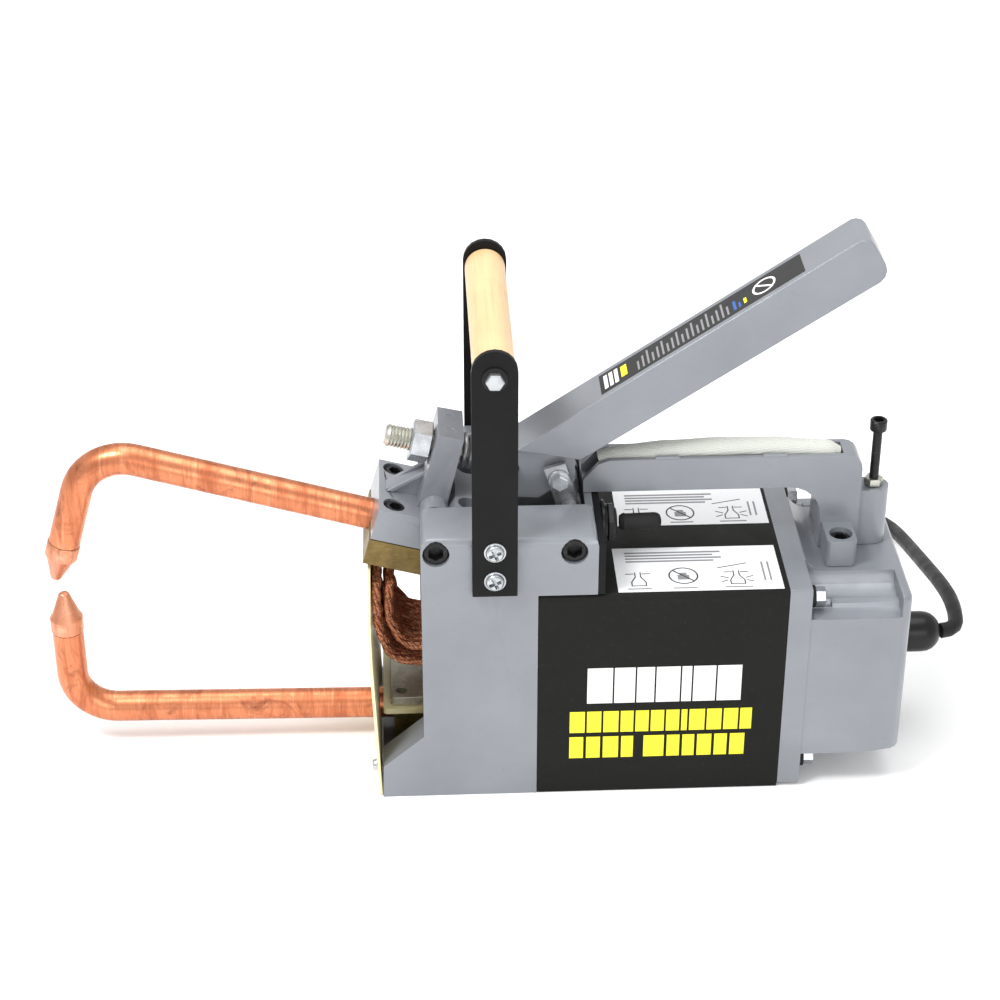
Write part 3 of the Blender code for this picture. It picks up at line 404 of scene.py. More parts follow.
# ------------------------------------------------------------------ mesh helpers, in mm from the seam

def emit(name, bm, material, body, smooth=35, bevel=0.0, segments=2, centred=False):
    """Makes a piece from a bmesh in mm and puts it on a body."""
    if not centred:
        bmesh.ops.translate(bm, vec=(DATUM_X, 0, 0), verts=bm.verts)
    bmesh.ops.scale(bm, vec=(MM, MM, MM), verts=bm.verts)
    bmesh.ops.recalc_face_normals(bm, faces=bm.faces)
    mesh = bpy.data.meshes.new(name)
    bm.to_mesh(mesh)
    bm.free()
    mesh.shade_smooth()
    mesh.set_sharp_from_angle(angle=math.radians(smooth))
    obj = bpy.data.objects.new(name, mesh)
    bpy.context.collection.objects.link(obj)
    mesh.materials.append(material)
    if bevel:
        soften(obj, bevel, segments)
    if body:
        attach(obj, body)
    return obj


def soften(obj, width, segments):
    bevel = obj.modifiers.new("soft_edges", "BEVEL")
    bevel.width = width * MM
    bevel.segments = segments
    bevel.limit_method = "ANGLE"
    bevel.angle_limit = math.radians(30)
    bevel.harden_normals = True


def bridge(bm, low, high):
    """Faces between two rings with the same number of corners."""
    for i in range(len(low)):
        j = (i + 1) % len(low)
        bm.faces.new((low[i], low[j], high[j], high[i]))


def close_prism(bm, low, high):
    bm.faces.new(low[::-1])
    bm.faces.new(high)
    bridge(bm, low, high)


def radius_at(angle, radius, shape):
    """Outline radius in a direction. Shape is None for a round outline, a number for a polygon with
    that many sides, or "cross" for a driver's recess."""
    if shape is None:
        return radius
    if shape == "cross":
        width = radius * 0.28
        c, s = abs(math.cos(angle)) + 1e-9, abs(math.sin(angle)) + 1e-9
        return max(min(radius / c, width / s), min(width / c, radius / s))
    sector = TAU / shape
    inside = (angle + sector / 2) % sector - sector / 2
    return radius / math.cos(inside)


def turn(bm, rows, place, direction, sides, spin=0.0):
    """Adds a turned or faceted solid; rows are (distance, radius, shape) along its axis."""
    axis = Vector(direction).normalized()
    helper = Vector((0, 0, 1)) if abs(axis.z) < 0.9 else Vector((1, 0, 0))
    u = axis.cross(helper).normalized()
    v = axis.cross(u)
    rings = []
    for row in rows:
        distance, radius = row[0], row[1]
        shape = row[2] if len(row) > 2 else None
        middle = Vector(place) + axis * distance
        if radius < 1e-6:
            rings.append([bm.verts.new(middle)])
            continue
        ring = []
        for i in range(sides):
            a = TAU * i / sides
            r = radius_at(a, radius, shape)
            ring.append(bm.verts.new(middle + u * (r * math.cos(a + spin)) + v * (r * math.sin(a + spin))))
        rings.append(ring)
    for low, high in zip(rings, rings[1:]):
        if len(low) == len(high) > 1:
            bridge(bm, low, high)
            continue
        for i in range(sides):
            j = (i + 1) % sides
            if len(low) == 1:
                bm.faces.new((low[0], high[i], high[j]))
            else:
                bm.faces.new((low[i], low[j], high[0]))
    for ring in (rings[0], rings[-1]):
        if len(ring) > 1:
            bm.faces.new(ring)
    return bm


def turned(name, rows, place, direction, material, body, sides=48, spin=0.0, smooth=35):
    return emit(name, turn(bmesh.new(), rows, place, direction, sides, spin), material, body, smooth)


def prism(name, outline, axis, low, high, material, body, bevel, segments=2):
    order = {"X": (1, 2, 0), "Y": (0, 2, 1), "Z": (0, 1, 2)}[axis]
    bm = bmesh.new()
    rings = []
    for level in (low, high):
        ring = []
        for p, q in outline:
            point = [0.0, 0.0, 0.0]
            point[order[0]], point[order[1]], point[order[2]] = p, q, level
            ring.append(bm.verts.new(point))
        rings.append(ring)
    close_prism(bm, rings[0], rings[1])
    return emit(name, bm, material, body, bevel=bevel, segments=segments)


def tube(name, points, radius, material, body, sides):
    """A round bar or wire along points."""
    bm = bmesh.new()
    sweep(bm, points, radius, sides)
    return emit(name, bm, material, body, smooth=50)


def sweep(bm, points, radius, sides):
    """Sweeps a circle along points without twisting it; radius may be a list."""
    places = [Vector(p) for p in points]
    count = len(places)
    radii = radius if isinstance(radius, list) else [radius] * count
    tangents = []
    for i in range(count):
        step = places[min(i + 1, count - 1)] - places[max(i - 1, 0)]
        tangents.append(step.normalized())
    side = tangents[0].orthogonal().normalized()
    if abs(tangents[0].y) < 0.9:
        side = Vector((0, 1, 0)) - tangents[0] * tangents[0].y
        side.normalize()
    rings = []
    for place, tangent, r in zip(places, tangents, radii):
        side = (side - tangent * side.dot(tangent)).normalized()
        other = tangent.cross(side)
        rings.append([bm.verts.new(place + side * (r * math.cos(TAU * i / sides))
                                   + other * (r * math.sin(TAU * i / sides))) for i in range(sides)])
    for low, high in zip(rings, rings[1:]):
        bridge(bm, low, high)
    bm.faces.new(rings[0])
    bm.faces.new(rings[-1][::-1])


def smooth_line(points, spacing):
    """Points at an even spacing on a smooth curve through the given ones."""
    places = [Vector(p) for p in points]
    places = [places[0] * 2 - places[1]] + places + [places[-1] * 2 - places[-2]]
    fine = []
    for i in range(1, len(places) - 2):
        a, b, c, d = places[i - 1:i + 3]
        for step in range(24):
            t = step / 24
            fine.append(0.5 * ((2 * b) + (c - a) * t + (2 * a - 5 * b + 4 * c - d) * t * t
                               + (3 * b - a - 3 * c + d) * t ** 3))
    fine.append(places[-2])
    line, travelled = [fine[0]], 0.0
    for before, after in zip(fine, fine[1:]):
        travelled += (after - before).length
        if travelled >= spacing:
            line.append(after)
            travelled = 0.0
    if travelled < spacing / 2:
        line.pop()
    return line + [fine[-1]]


def bend_path(start, corner, end, r, steps):
    """Two straight runs with a round bend of radius r between them."""
    start, corner, end = Vector(start), Vector(corner), Vector(end)
    back, ahead = (start - corner).normalized(), (end - corner).normalized()
    half = back.angle(ahead) / 2
    reach = r / math.tan(half)
    centre = corner + (back + ahead).normalized() * r / math.sin(half)
    first, last = corner + back * reach - centre, corner + ahead * reach - centre
    sweep_angle = first.angle(last)
    points = [start]
    for i in range(steps + 1):
        part = sweep_angle * i / steps
        spoke = first * math.sin(sweep_angle - part) + last * math.sin(part)
        points.append(centre + spoke / math.sin(sweep_angle))
    return points + [end]


def repaint(material, *nodes):
    """Gives CAD nodes that stay as they are a material of this script."""
    for node in nodes:
        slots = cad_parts[node].data.materials
        slots.clear()
        slots.append(material)


# ------------------------------------------------------------------ camera, light and floor

def camera():
    data = bpy.data.cameras.new("photo_camera")
    data.sensor_width = 36.0
    data.lens = 85.91
    data.clip_end = 20
    obj = bpy.data.objects.new("photo_camera", data)
    bpy.context.collection.objects.link(obj)
    yaw, drop = math.radians(2.53), math.radians(30.93)
    ahead = Vector((math.cos(drop) * math.sin(yaw), math.cos(drop) * math.cos(yaw), -math.sin(drop)))
    obj.location = at(-63.3, -1053.0, 775.0)
    obj.rotation_euler = ahead.to_track_quat("-Z", "Y").to_euler()
    bpy.context.scene.camera = obj


def area_light(name, place, target, size, power):
    data = bpy.data.lights.new(name, "AREA")
    data.shape = "RECTANGLE"
    data.size, data.size_y = size
    data.energy = power
    obj = bpy.data.objects.new(name, data)
    bpy.context.collection.objects.link(obj)
    obj.location = place
    obj.rotation_euler = (Vector(target) - Vector(place)).to_track_quat("-Z", "Y").to_euler()


def studio():
    world = bpy.data.worlds.new("studio")
    bpy.context.scene.world = world
    world.use_nodes = True
    background = world.node_tree.nodes["Background"]
    background.inputs["Color"].default_value = (1, 1, 1, 1)
    background.inputs["Strength"].default_value = 0.85
    area_light("key", (-0.7, -0.5, 1.5), (0, 0, 0.1), (0.4, 0.4), 19)
    area_light("top", (0.15, 0.25, 1.6), (0, 0, 0.1), (1.4, 1.0), 14)
    area_light("front", (0.5, -1.6, 0.7), (0, 0, 0.12), (1.2, 0.7), 8)
    bm = bmesh.new()
    bmesh.ops.create_grid(bm, x_segments=1, y_segments=1, size=6.0)
    mesh = bpy.data.meshes.new("studio_floor")
    bm.to_mesh(mesh)
    bm.free()
    floor = bpy.data.objects.new("studio_floor", mesh)
    bpy.context.collection.objects.link(floor)
    paper = Finish("floor_paper", (0.93, 0.93, 0.93), 0.9)
    mesh.materials.append(paper.material)
    bpy.context.scene.view_settings.view_transform = "Standard"


camera()
studio()

# ------------------------------------------------------------------ mains lead

ROUTE = [(220.2, 0, 55.3), (222.8, 0.3, 55.3), (225.2, 1.3, 55.3), (227.3, 2.9, 55.3), (228.9, 5.0, 55.2),
         (230.0, 7.5, 55.1), (231.2, 13.5, 54.8), (232.4, 24.0, 54.0), (233.0, 40.0, 51.8),
         (233.0, 64.0, 45.8), (232.8, 92.0, 37.2), (233.0, 120.0, 27.9), (232.8, 149.0, 18.6),
         (231.6, 172.0, 11.6), (227.6, 189.0, 7.3), (219.0, 200.6, 5.1), (205.0, 205.4, 4.4),
         (186.0, 204.8, 4.3), (162.0, 203.2, 4.3), (138.0, 203.0, 4.3), (116.0, 204.0, 4.3),
         (100.0, 204.6, 4.3)]


def coil_points(turns):
    """Turns of cord wound inwards on the bench, then outwards on top of themselves."""
    cx, cy = COIL_CENTRE
    # turn at which a stretch begins, radius, height; the cord moves smoothly from each to the next
    lanes = [(0.0, 65.7, 4.3), (0.30, 55.2, 4.3), (1.0, 54.6, 4.35), (1.18, 46.4, 4.35),
             (1.85, 46.2, 4.35), (2.05, 38.2, 4.35), (2.72, 38.1, 4.35), (3.0, 42.3, 11.7),
             (3.62, 42.4, 11.9), (3.85, 50.6, 11.9), (9.0, 50.7, 11.9)]
    points = []
    start = math.radians(79.5)
    steps = 40
    for i in range(1, int(turns * steps) + 1):
        t = i / steps
        for (t0, r0, z0), (t1, r1, z1) in zip(lanes, lanes[1:]):
            if t0 <= t <= t1:
                k = (t - t0) / (t1 - t0)
                k = k * k * (3 - 2 * k)
                r, z = r0 + (r1 - r0) * k, z0 + (z1 - z0) * k
                break
        angle = start + TAU * t
        points.append(Vector((cx + r * math.cos(angle), cy + r * math.sin(angle), z)))
    return points


def mains_plug():
    cx, cy, cz = PLUG
    corners = []
    for qx, qy, first in ((9, 8, 0), (-9, 8, 90), (-9, -8, 180), (9, -8, 270)):
        for a in range(first, first + 91, 18):
            corners.append((cx + qx + 5 * math.cos(math.radians(a)), cy + qy + 5 * math.sin(math.radians(a))))
    body = prism("plug_body", corners, "Z", cz - 12, cz + 12, RUBBER, "housing", 2.4, 4)
    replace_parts(body, "plug")
    rows = [(12, 0), (12, 10.0), (14, 9.6), (19, 8.0), (20, 7.2)]
    for k in range(5):
        rows += [(21 + 4 * k, 7.6 - 0.42 * k), (23.4 + 4 * k, 7.5 - 0.42 * k), (23.8 + 4 * k, 5.4),
                 (24.8 + 4 * k, 5.3)]
    rows += [(42, 5.4), (42, 0)]
    turned("plug_relief", rows, (cx, cy, cz), (1, 0, 0), RUBBER, "housing")
    rows = [(10, 0), (10, 2.4), (32.6, 2.4), (33.7, 1.6), (34, 0)]
    turned("plug_earth_pin", rows, (cx, cy, cz - 6.5), (-1, 0, 0), ZINC_WARM, "housing", 32)
    for side, label in ((-1, "near"), (1, "far")):
        y = cy + side * 6.35
        outline = [(cx - 32, cz + 2.3), (cx - 31.2, cz + 1.5), (cx - 10, cz + 1.5), (cx - 10, cz + 7.8),
                   (cx - 31.2, cz + 7.8), (cx - 32, cz + 7.0)]
        prism("plug_blade_" + label, outline, "Y", y - 0.8, y + 0.8, ZINC_WARM, "housing", 0.2)


def mains_cord():
    free = smooth_line(ROUTE, 5.0)
    turns = 5.0 + 10.5 / 360            # leaves the coil at its far side, heading for the plug
    wound = coil_points(turns)
    px, py, pz = PLUG
    tail = [Vector((px + 60, py, 12.1)), Vector((px + 50, py, 12.2)), Vector((px + 40.5, py, pz))]
    points = free + wound + tail
    curve = bpy.data.curves.new("mains_cord_run", "CURVE")
    curve.dimensions = "3D"
    curve.bevel_depth = CORD_R * MM
    curve.bevel_resolution = 4
    curve.use_fill_caps = True
    spline = curve.splines.new("POLY")
    spline.points.add(len(points) - 1)
    for place, point in zip(spline.points, points):
        place.co = (*at(*point), 1.0)
    spline.use_smooth = True
    curve.materials.append(CORD_RUBBER)
    obj = bpy.data.objects.new("mains_cord_run", curve)
    bpy.context.collection.objects.link(obj)
    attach(obj, "housing")
    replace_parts(obj, "mains_cord", "cord_coil")


mains_plug()
mains_cord()


# ------------------------------------------------------------------ castings, cover and straps

def recast(node, material, edge, body="housing", segments=2):
    """Stands in for a CAD node with the same shape, its flat faces merged and its edges rounded."""
    bm = bmesh.new()
    bm.from_mesh(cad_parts[node].data)
    bmesh.ops.remove_doubles(bm, verts=bm.verts, dist=1e-6)
    bmesh.ops.dissolve_limit(bm, angle_limit=math.radians(0.6), verts=bm.verts, edges=bm.edges)
    bmesh.ops.scale(bm, vec=(1 / MM, 1 / MM, 1 / MM), verts=bm.verts)
    obj = emit(node + "_shell", bm, material, body, bevel=edge, segments=segments, centred=True)
    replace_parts(obj, node)


def slabs(name, corner, along, across, rects, thickness, material, body, sunk=0.0):
    """Thin printed areas on a flat face; rects are (s0, t0, s1, t1) along and across it."""
    along, across = Vector(along).normalized(), Vector(across).normalized()
    out = along.cross(across)
    bm = bmesh.new()
    for s0, t0, s1, t1 in rects:
        low, high = [[bm.verts.new(Vector(corner) + along * s + across * t + out * level)
                      for s, t in ((s0, t0), (s1, t0), (s1, t1), (s0, t1))] for level in (sunk, thickness)]
        close_prism(bm, low, high)
    emit(name, bm, material, body, smooth=20)


def ring_mark(name, middle, along, across, outer, inner, thickness, material, body):
    """A printed ring with a bar across it."""
    along, across = Vector(along).normalized(), Vector(across).normalized()
    out = along.cross(across)
    bm = bmesh.new()
    steps = 40
    angles = [TAU * i / steps for i in range(steps)]
    loops = []
    for radius, level in ((outer, 0.0), (outer, thickness), (inner, thickness), (inner, 0.0)):
        loops.append([bm.verts.new(Vector(middle) + out * level + along * (radius * math.cos(a))
                                   + across * (radius * math.sin(a))) for a in angles])
    for low, high in zip(loops, loops[1:] + loops[:1]):
        bridge(bm, low, high)
    width = (outer - inner) * 0.5
    slant = (along - across).normalized()
    square = out.cross(slant)
    bar = [(-inner, -width), (inner, -width), (inner, width), (-inner, width)]
    low, high = [[bm.verts.new(Vector(middle) + slant * s + square * t + out * level) for s, t in bar]
                 for level in (0.0, thickness)]
    close_prism(bm, low, high)
    emit(name, bm, material, body, smooth=20)


def castings():
    recast("front_casting", CAST, 1.0, segments=3)
    recast("rear_cover", CAST, 1.0, segments=3)
    recast("grip_rail", CAST, 0.9, segments=3)
    recast("upper_arm", CAST, 0.6, "upper_arm")
    recast("lever", CAST, 1.2, "lever", segments=3)
    recast("wrap_cover", WRAP, 0.3)
    for where in ("near", "far"):
        recast("strap_" + where, BLACK, 0.4)
    recast("switch_plate", BLACK, 0.4)
    recast("clamp_bar", BRONZE, 0.5, "upper_arm")
    recast("lower_plate", SPANGLE, 0.4)
    recast("swing_link", ZINC, 0.4, "swing_link")
    recast("lower_block", BRONZE, 0.5)


def arm_place(x, y, z):
    """A place in the upper arm's own tilted frame, at rest."""
    return Vector((ARM_PIVOT[0] + x * math.cos(ARM_TILT) + z * math.sin(ARM_TILT), y,
                   ARM_PIVOT[1] - x * math.sin(ARM_TILT) + z * math.cos(ARM_TILT)))


def casting_marks():
    """Ejector-pin rings on the horn, low pads on the rail's rim, and the webs of the arm's gusset."""
    up = (math.sin(ARM_TILT), 0, math.cos(ARM_TILT))
    for y, label in ((-7.5, "near"), (7.5, "far")):
        rows = [(-0.4, 3.3), (0.10, 3.3), (0.16, 3.1), (0.16, 2.6), (-0.05, 2.4)]
        turned("horn_ring_" + label, rows, arm_place(-2.0, y, 41.95), up, CAST, "upper_arm", 40)
    for x, place in ((68.1, "front"), (123.2, "rear")):
        for side, label in ((-1, "near"), (1, "far")):
            outline = [(x - 7.0, 169.8), (x - 6.4, 170.9), (x - 5.4, 171.5), (x + 5.4, 171.5),
                       (x + 6.4, 170.9), (x + 7.0, 169.8)]
            low, high = sorted((side * 6.2, side * 8.5))
            prism("rail_pad_%s_%s" % (place, label), outline, "Y", low, high, CAST, "housing", 0.4)
    for side, label in ((-1, "near"), (1, "far")):
        web = [arm_place(x, 0, z) for x, z in ((-24.6, -1.0), (-8.2, 15.0), (-8.2, 12.2), (-21.4, -1.0))]
        low, high = sorted((side * 3.6, side * 6.2))
        prism("gusset_rim_" + label, [(p.x, p.z) for p in web], "Y", low, high, CAST, "upper_arm", 0.5)


def blocks(start, gap, widths, low, high):
    """A row of plain blocks, for slabs()."""
    rects, s = [], start
    for width in widths:
        rects.append((s, low, s + width, high))
        s += width + gap
    return rects


def side_prints():
    """Plain blocks on both sides of the cover, where the maker's words would be."""
    for side, label in ((-1, "near"), (1, "far")):
        along = (1, 0, 0) if side < 0 else (-1, 0, 0)
        left = 0.0 if side < 0 else WRAP_LENGTH
        corner = (left, side * 60.05, 0)
        white = blocks(25.2, 0.9, (13.0, 10.6, 9.0, 12.2, 5.0, 11.4, 12.4), 56.6, 78.4)
        yellow = blocks(16.5, 1.1, (7.8, 7.4, 7.8, 6.6, 6.8, 6.8, 6.8, 3.0, 8.0, 7.6, 7.4, 6.0), 38.2, 51.4)
        yellow += blocks(16.5, 1.5, (7.2, 7.2, 8.0, 6.2), 22.0, 35.4)
        yellow += blocks(55.0, 1.5, (10.6, 6.6, 6.2, 7.4, 6.6, 7.6), 22.0, 35.4)
        for ink, rects, material in (("white", white, WHITE_PRINT), ("yellow", yellow, YELLOW_PRINT)):
            name = "side_print_%s_%s" % (ink, label)
            slabs(name, corner, along, (0, 0, 1), rects, 0.12, material, "housing")


def top_labels():
    """Two white paper labels on top of the cover, with plain pictograms and grey rules."""
    level = WRAP_TOP + 0.02
    along, across = (1, 0, 0), (0, 1, 0)
    for label, x0, y0, length, depth in (("near", 40.0, -57.5, 83.5, 41.0), ("far", 45.0, 5.5, 79.5, 35.5)):
        corner = (x0, y0, level)
        sheet = [(0, 0, length, depth)]
        slabs("top_label_" + label, corner, along, across, sheet, 0.10, LABEL_WHITE, "housing")
        rules = [(6, depth - 5.6 - 2.7 * k, length * (0.66 - 0.05 * (k % 2)), depth - 4.2 - 2.7 * k)
                 for k in range(4)]
        rules += [(length - 9.0 + 3.0 * k, 8, length - 8.0 + 3.0 * k, depth * 0.62) for k in range(2)]
        rules += [(5, 2.2, 17, 3.2), (28, 2.2, 40, 3.2), (54, 2.2, 68, 3.2)]
        slabs("top_label_marks_" + label, corner, along, across, rules, 0.16, GREY_PRINT, "housing")
        tip_mark("top_label_tip_%s_1" % label, (x0 + 11.0, y0 + 5.5, level), False)
        tip_mark("top_label_tip_%s_2" % label, (x0 + 61.0, y0 + 5.5, level), True)
        ring_mark("top_label_ring_" + label, (x0 + 34.0, y0 + depth * 0.34, level), along, across,
                  7.6, 6.8, 0.16, BLACK_PRINT, "housing")
        slabs("top_label_block_" + label, (x0 + 31.0, y0 + depth * 0.34 - 3.6, level), along, across,
              [(0, 0, 6.0, 4.4), (1.2, 4.4, 4.8, 6.4)], 0.13, GREY_PRINT, "housing")


def tip_mark(name, foot, rays):
    """A plain outline of an electrode tip, with or without short strokes round it."""
    strokes = [((-3.6, 0), (-3.6, 3.4)), ((3.6, 0), (3.6, 3.4)), ((-3.6, 0), (3.6, 0)),
               ((-3.6, 3.4), (-1.4, 8.0)), ((3.6, 3.4), (1.4, 8.0)), ((-1.4, 8.0), (-1.4, 12.0)),
               ((1.4, 8.0), (1.4, 12.0)), ((-6.0, 11.0), (-2.4, 11.0)), ((2.4, 11.0), (6.0, 11.0))]
    if rays:
        strokes += [((-8.0, 2.0), (-5.0, 3.4)), ((8.0, 2.0), (5.0, 3.4)), ((-8.0, 7.0), (-4.6, 5.6)),
                    ((8.0, 7.0), (4.6, 5.6)), ((-9.0, 15.0), (6.0, 19.0))]
    bm = bmesh.new()
    for start, end in strokes:
        a, b = Vector((*start, 0)), Vector((*end, 0))
        step = (b - a).normalized() * 0.3
        side = Vector((-step.y, step.x, 0))
        corners = (a - step - side, b + step - side, b + step + side, a - step + side)
        low = [bm.verts.new(Vector(foot) + p) for p in corners]
        high = [bm.verts.new(Vector(foot) + p + Vector((0, 0, 0.16))) for p in corners]
        close_prism(bm, low, high)
    emit(name, bm, BLACK_PRINT, "housing", smooth=20)


def lever_label():
    """A dark label along the lever's top with plain coloured bars."""
    foot, head = Vector((-9.5, 0, 179.7)), Vector((155.96, 0, 291.74))      # the top face's middle line
    slope = (head - foot).normalized()
    length, width = 118.0, 19.2
    corner = foot + slope * 52.0 + Vector((0, -width / 2, 0))
    across = (0, 1, 0)
    slabs("lever_label", corner, slope, across, [(0, 0, length, width)], 0.14, BLACK_PRINT, "lever",
          sunk=-0.2)
    strokes = [(3, 3, 4.4, 16), (6, 3, 7.4, 16), (9, 4, 10.4, 12)]
    strokes += [(22 + 2.9 * k, 2.4, 23.1 + 2.9 * k, 11 + 5.5 * ((k * 7) % 3) / 2) for k in range(19)]
    bars = [(2.5 + 3.1 * k, 3.0, 4.6 + 3.1 * k, 16.4) for k in range(3)]
    for ink, rects, thickness, material in (
            ("marks", strokes, 0.2, GREY_PRINT),
            ("head", bars, 0.22, WHITE_PRINT),
            ("yellow", [(12.5, 5.0, 16.0, 15.5), (84, 4, 85.6, 9)], 0.22, YELLOW_PRINT),
            ("blue", [(78, 3, 79.6, 12), (81, 3, 82.2, 8)], 0.22, BLUE_PRINT)):
        slabs("lever_label_" + ink, corner, slope, across, rects, thickness, material, "lever")
    ring_mark("lever_label_ring", corner + slope * 96 + Vector((0, width / 2, 0)), slope, across,
              6.6, 5.4, 0.22, WHITE_PRINT, "lever")


# ------------------------------------------------------------------ copper

def tip(name, place, direction, body):
    """Cone-ended cap with a collar, slightly dented all over."""
    rows = [(0, 0), (0, TONG_R + 0.1), (0.6, TONG_R + 0.45), (7.9, TONG_R + 0.45), (8.5, TONG_R + 0.2),
            (9.2, TONG_R - 0.6), (22.1, 2.9), (22.8, 2.2), (23.2, 1.1), (23.25, 0)]
    bm = turn(bmesh.new(), rows, place, direction, 48)
    rng = random.Random(7)
    for vert in bm.verts:
        vert.co += Vector([rng.uniform(-0.07, 0.07) for _ in range(3)])
    return emit(name, bm, TIP, body, smooth=30)


def tongs():
    seat = 0.3          # gap between a bar's end and its tip
    leg_x, leg_top = -244.8, 69.8
    lower = bend_path((-13, 0, 17.0), (leg_x, 0, 20.2), (leg_x, 0, leg_top), 23, 22)
    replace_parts(tube("lower_bar", lower, TONG_R, COPPER_RUN, "housing", 48), "lower_tong")
    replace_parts(tip("lower_tip_cap", (leg_x, 0, leg_top + seat), (0, 0, 1), "housing"), "lower_tip")
    ahead = Vector((-math.cos(TONG_TILT), 0, math.sin(TONG_TILT)))
    down = Vector((-math.sin(TONG_TILT), 0, -math.cos(TONG_TILT)))
    clamp = Vector((-93.9, 0, 140.1))
    corner = clamp + ahead * 137.2
    toe = corner + down * 56.6
    upper = bend_path(clamp - ahead * 57, corner, toe, 25, 22)
    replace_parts(tube("upper_bar", upper, TONG_R, COPPER_RUN, "upper_arm", 48), "upper_tong")
    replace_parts(tip("upper_tip_cap", toe + down * seat, down, "upper_arm"), "upper_tip")


def braided_strap():
    """Ropes of fine wire side by side, which hang from the clamp bar and sweep back to the secondary."""
    outer = [(-81.2, 109.0), (-81.6, 98), (-80.8, 84), (-78.4, 71), (-73.2, 61.6), (-63.6, 57.6),
             (-51, 58.4), (-39.5, 62.5)]
    inner = [(-74.4, 108.0), (-75.4, 98), (-74.8, 86), (-71.6, 76), (-66.4, 70.2), (-59.2, 67.4),
             (-50, 67.8), (-40.5, 71.0)]
    bm = bmesh.new()
    rng = random.Random(3)
    for layer in (outer, inner):
        for k in range(9):
            y = -19.6 + 4.9 * k
            phase = rng.uniform(0, TAU)
            rope = [(x + rng.uniform(-0.5, 0.5), y + rng.uniform(-0.7, 0.7), z) for x, z in layer]
            line = smooth_line(rope, 1.6)
            for strand in range(3):
                points = []
                for i, p in enumerate(line):
                    a = TAU * strand / 3 + phase + i * 0.42
                    points.append(p + Vector((1.25 * math.cos(a), 1.25 * math.sin(a), 0.6 * math.sin(a + 1))))
                sweep(bm, points, 1.35, 8)
    obj = emit("braided_strap", bm, BRAID, None, smooth=60)
    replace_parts(obj, "copper_braid")
    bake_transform(obj)


# ------------------------------------------------------------------ pressure rod, springs and link

def rod_axis():
    """The push rod's direction, from the lever's pin to the horn."""
    return Vector((-math.cos(ROD_TILT), 0, math.sin(ROD_TILT)))


def helix(start, direction, radius, length, turns):
    """Points of a coil spring."""
    steps = 28          # points in a turn
    axis = Vector(direction).normalized()
    u = axis.cross(Vector((0, 1, 0)) if abs(axis.y) < 0.9 else Vector((1, 0, 0))).normalized()
    v = axis.cross(u)
    count = int(turns * steps)
    return [Vector(start) + axis * (length * i / count)
            + u * (radius * math.cos(TAU * i / steps)) + v * (radius * math.sin(TAU * i / steps))
            for i in range(count + 1)]


def pressure_rod():
    pin = Vector((LEVER_PIN[0], 0, LEVER_PIN[1]))
    rows = [(4.0, 0), (4.0, 5.8), (9.7, 5.8), (9.8, 9.2), (11.0, 9.2), (11.1, 5.7), (40.6, 5.7)]
    pitch, thread_start, thread_turns = 1.75, 41.0, 13
    for k in range(thread_turns):
        root = thread_start + pitch * k
        rows += [(root, 5.15), (root + pitch / 2, 5.9)]
    rows += [(63.9, 5.5), (65.0, 4.5), (65.2, 0)]
    bm = turn(bmesh.new(), rows, pin, rod_axis(), 48)
    turn(bm, [(-6.0, 0), (-6.0, 7.2), (-5.6, 7.6), (5.6, 7.6), (6.0, 7.2), (6.0, 0)], pin, (0, 1, 0), 40)
    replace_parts(emit("threaded_rod", bm, ZINC_WARM, "push_rod"), "push_rod")
    rows = [(41.6, 5.6), (41.6, 8.4, 6), (42.3, 9.5, 6), (51.2, 9.5, 6), (51.9, 8.4, 6), (51.9, 5.6)]
    nut = turned("rod_nut", rows, pin, rod_axis(), ZINC, "push_rod", spin=0.3, smooth=30)
    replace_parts(nut, "pressure_nut")
    coil = helix(pin + rod_axis() * 12.9, rod_axis(), 7.7, 12.0, 3.6)
    spring = tube("rod_spring", coil, 1.3, STEEL, "housing", 12)
    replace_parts(spring, "pressure_spring")
    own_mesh(spring)
    coil = helix(Vector((LINK_PIVOT[0], 18.6, LINK_PIVOT[1])), (0, 1, 0), 6.8, 5.8, 3.5)
    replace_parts(tube("torsion_spring", coil, 0.85, STEEL, "housing", 12), "return_spring")


def link_fastening():
    place = (LINK_BOLT[0], 0, LINK_BOLT[1])
    rows = [(-21.4, 0), (-21.4, 3.4, 6), (-21.0, 4.0, 6), (-18.4, 4.0, 6), (-18.3, 5.4), (-17.0, 5.8),
            (-16.9, 3.0), (16.9, 3.0), (17.0, 4.6, 6), (20.3, 4.6, 6), (20.6, 4.0, 6), (20.6, 0)]
    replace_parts(turned("link_hex_bolt", rows, place, (0, 1, 0), ZINC, "swing_link", smooth=30), "link_bolt")


# ------------------------------------------------------------------ screws and bolts

def crosshead(name, place, direction, radius):
    """A pan-head screw with a driver cross, on a thin washer."""
    rows = [(-0.2, 0), (-0.2, radius + 0.7), (0.5, radius + 0.7), (0.55, radius), (1.4, radius * 0.97),
            (2.2, radius * 0.88), (2.7, radius * 0.76), (2.8, radius * 0.70, "cross"),
            (0.6, radius * 0.52, "cross"), (0.4, 0)]
    return turned(name, rows, place, direction, ZINC, "housing", 64, spin=0.4, smooth=30)


def hex_head(name, node, place, direction, flats, height, washer, seat, shank):
    """A hexagon head over a black washer of thickness seat, with its shank running back."""
    top = seat + height
    rows = [(-shank, 0), (-shank, flats * 0.6), (seat, flats * 0.6), (seat + 0.05, flats, 6),
            (top - 0.5, flats, 6), (top, flats * 0.88, 6), (top, 0)]
    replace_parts(turned(name, rows, place, direction, ZINC, "housing", spin=0.5, smooth=30), node)
    rows = [(0.0, 0), (0.0, washer), (seat - 0.2, washer), (seat, washer - 0.3), (seat, 0)]
    turned(name + "_washer", rows, place, direction, RUBBER, "housing")


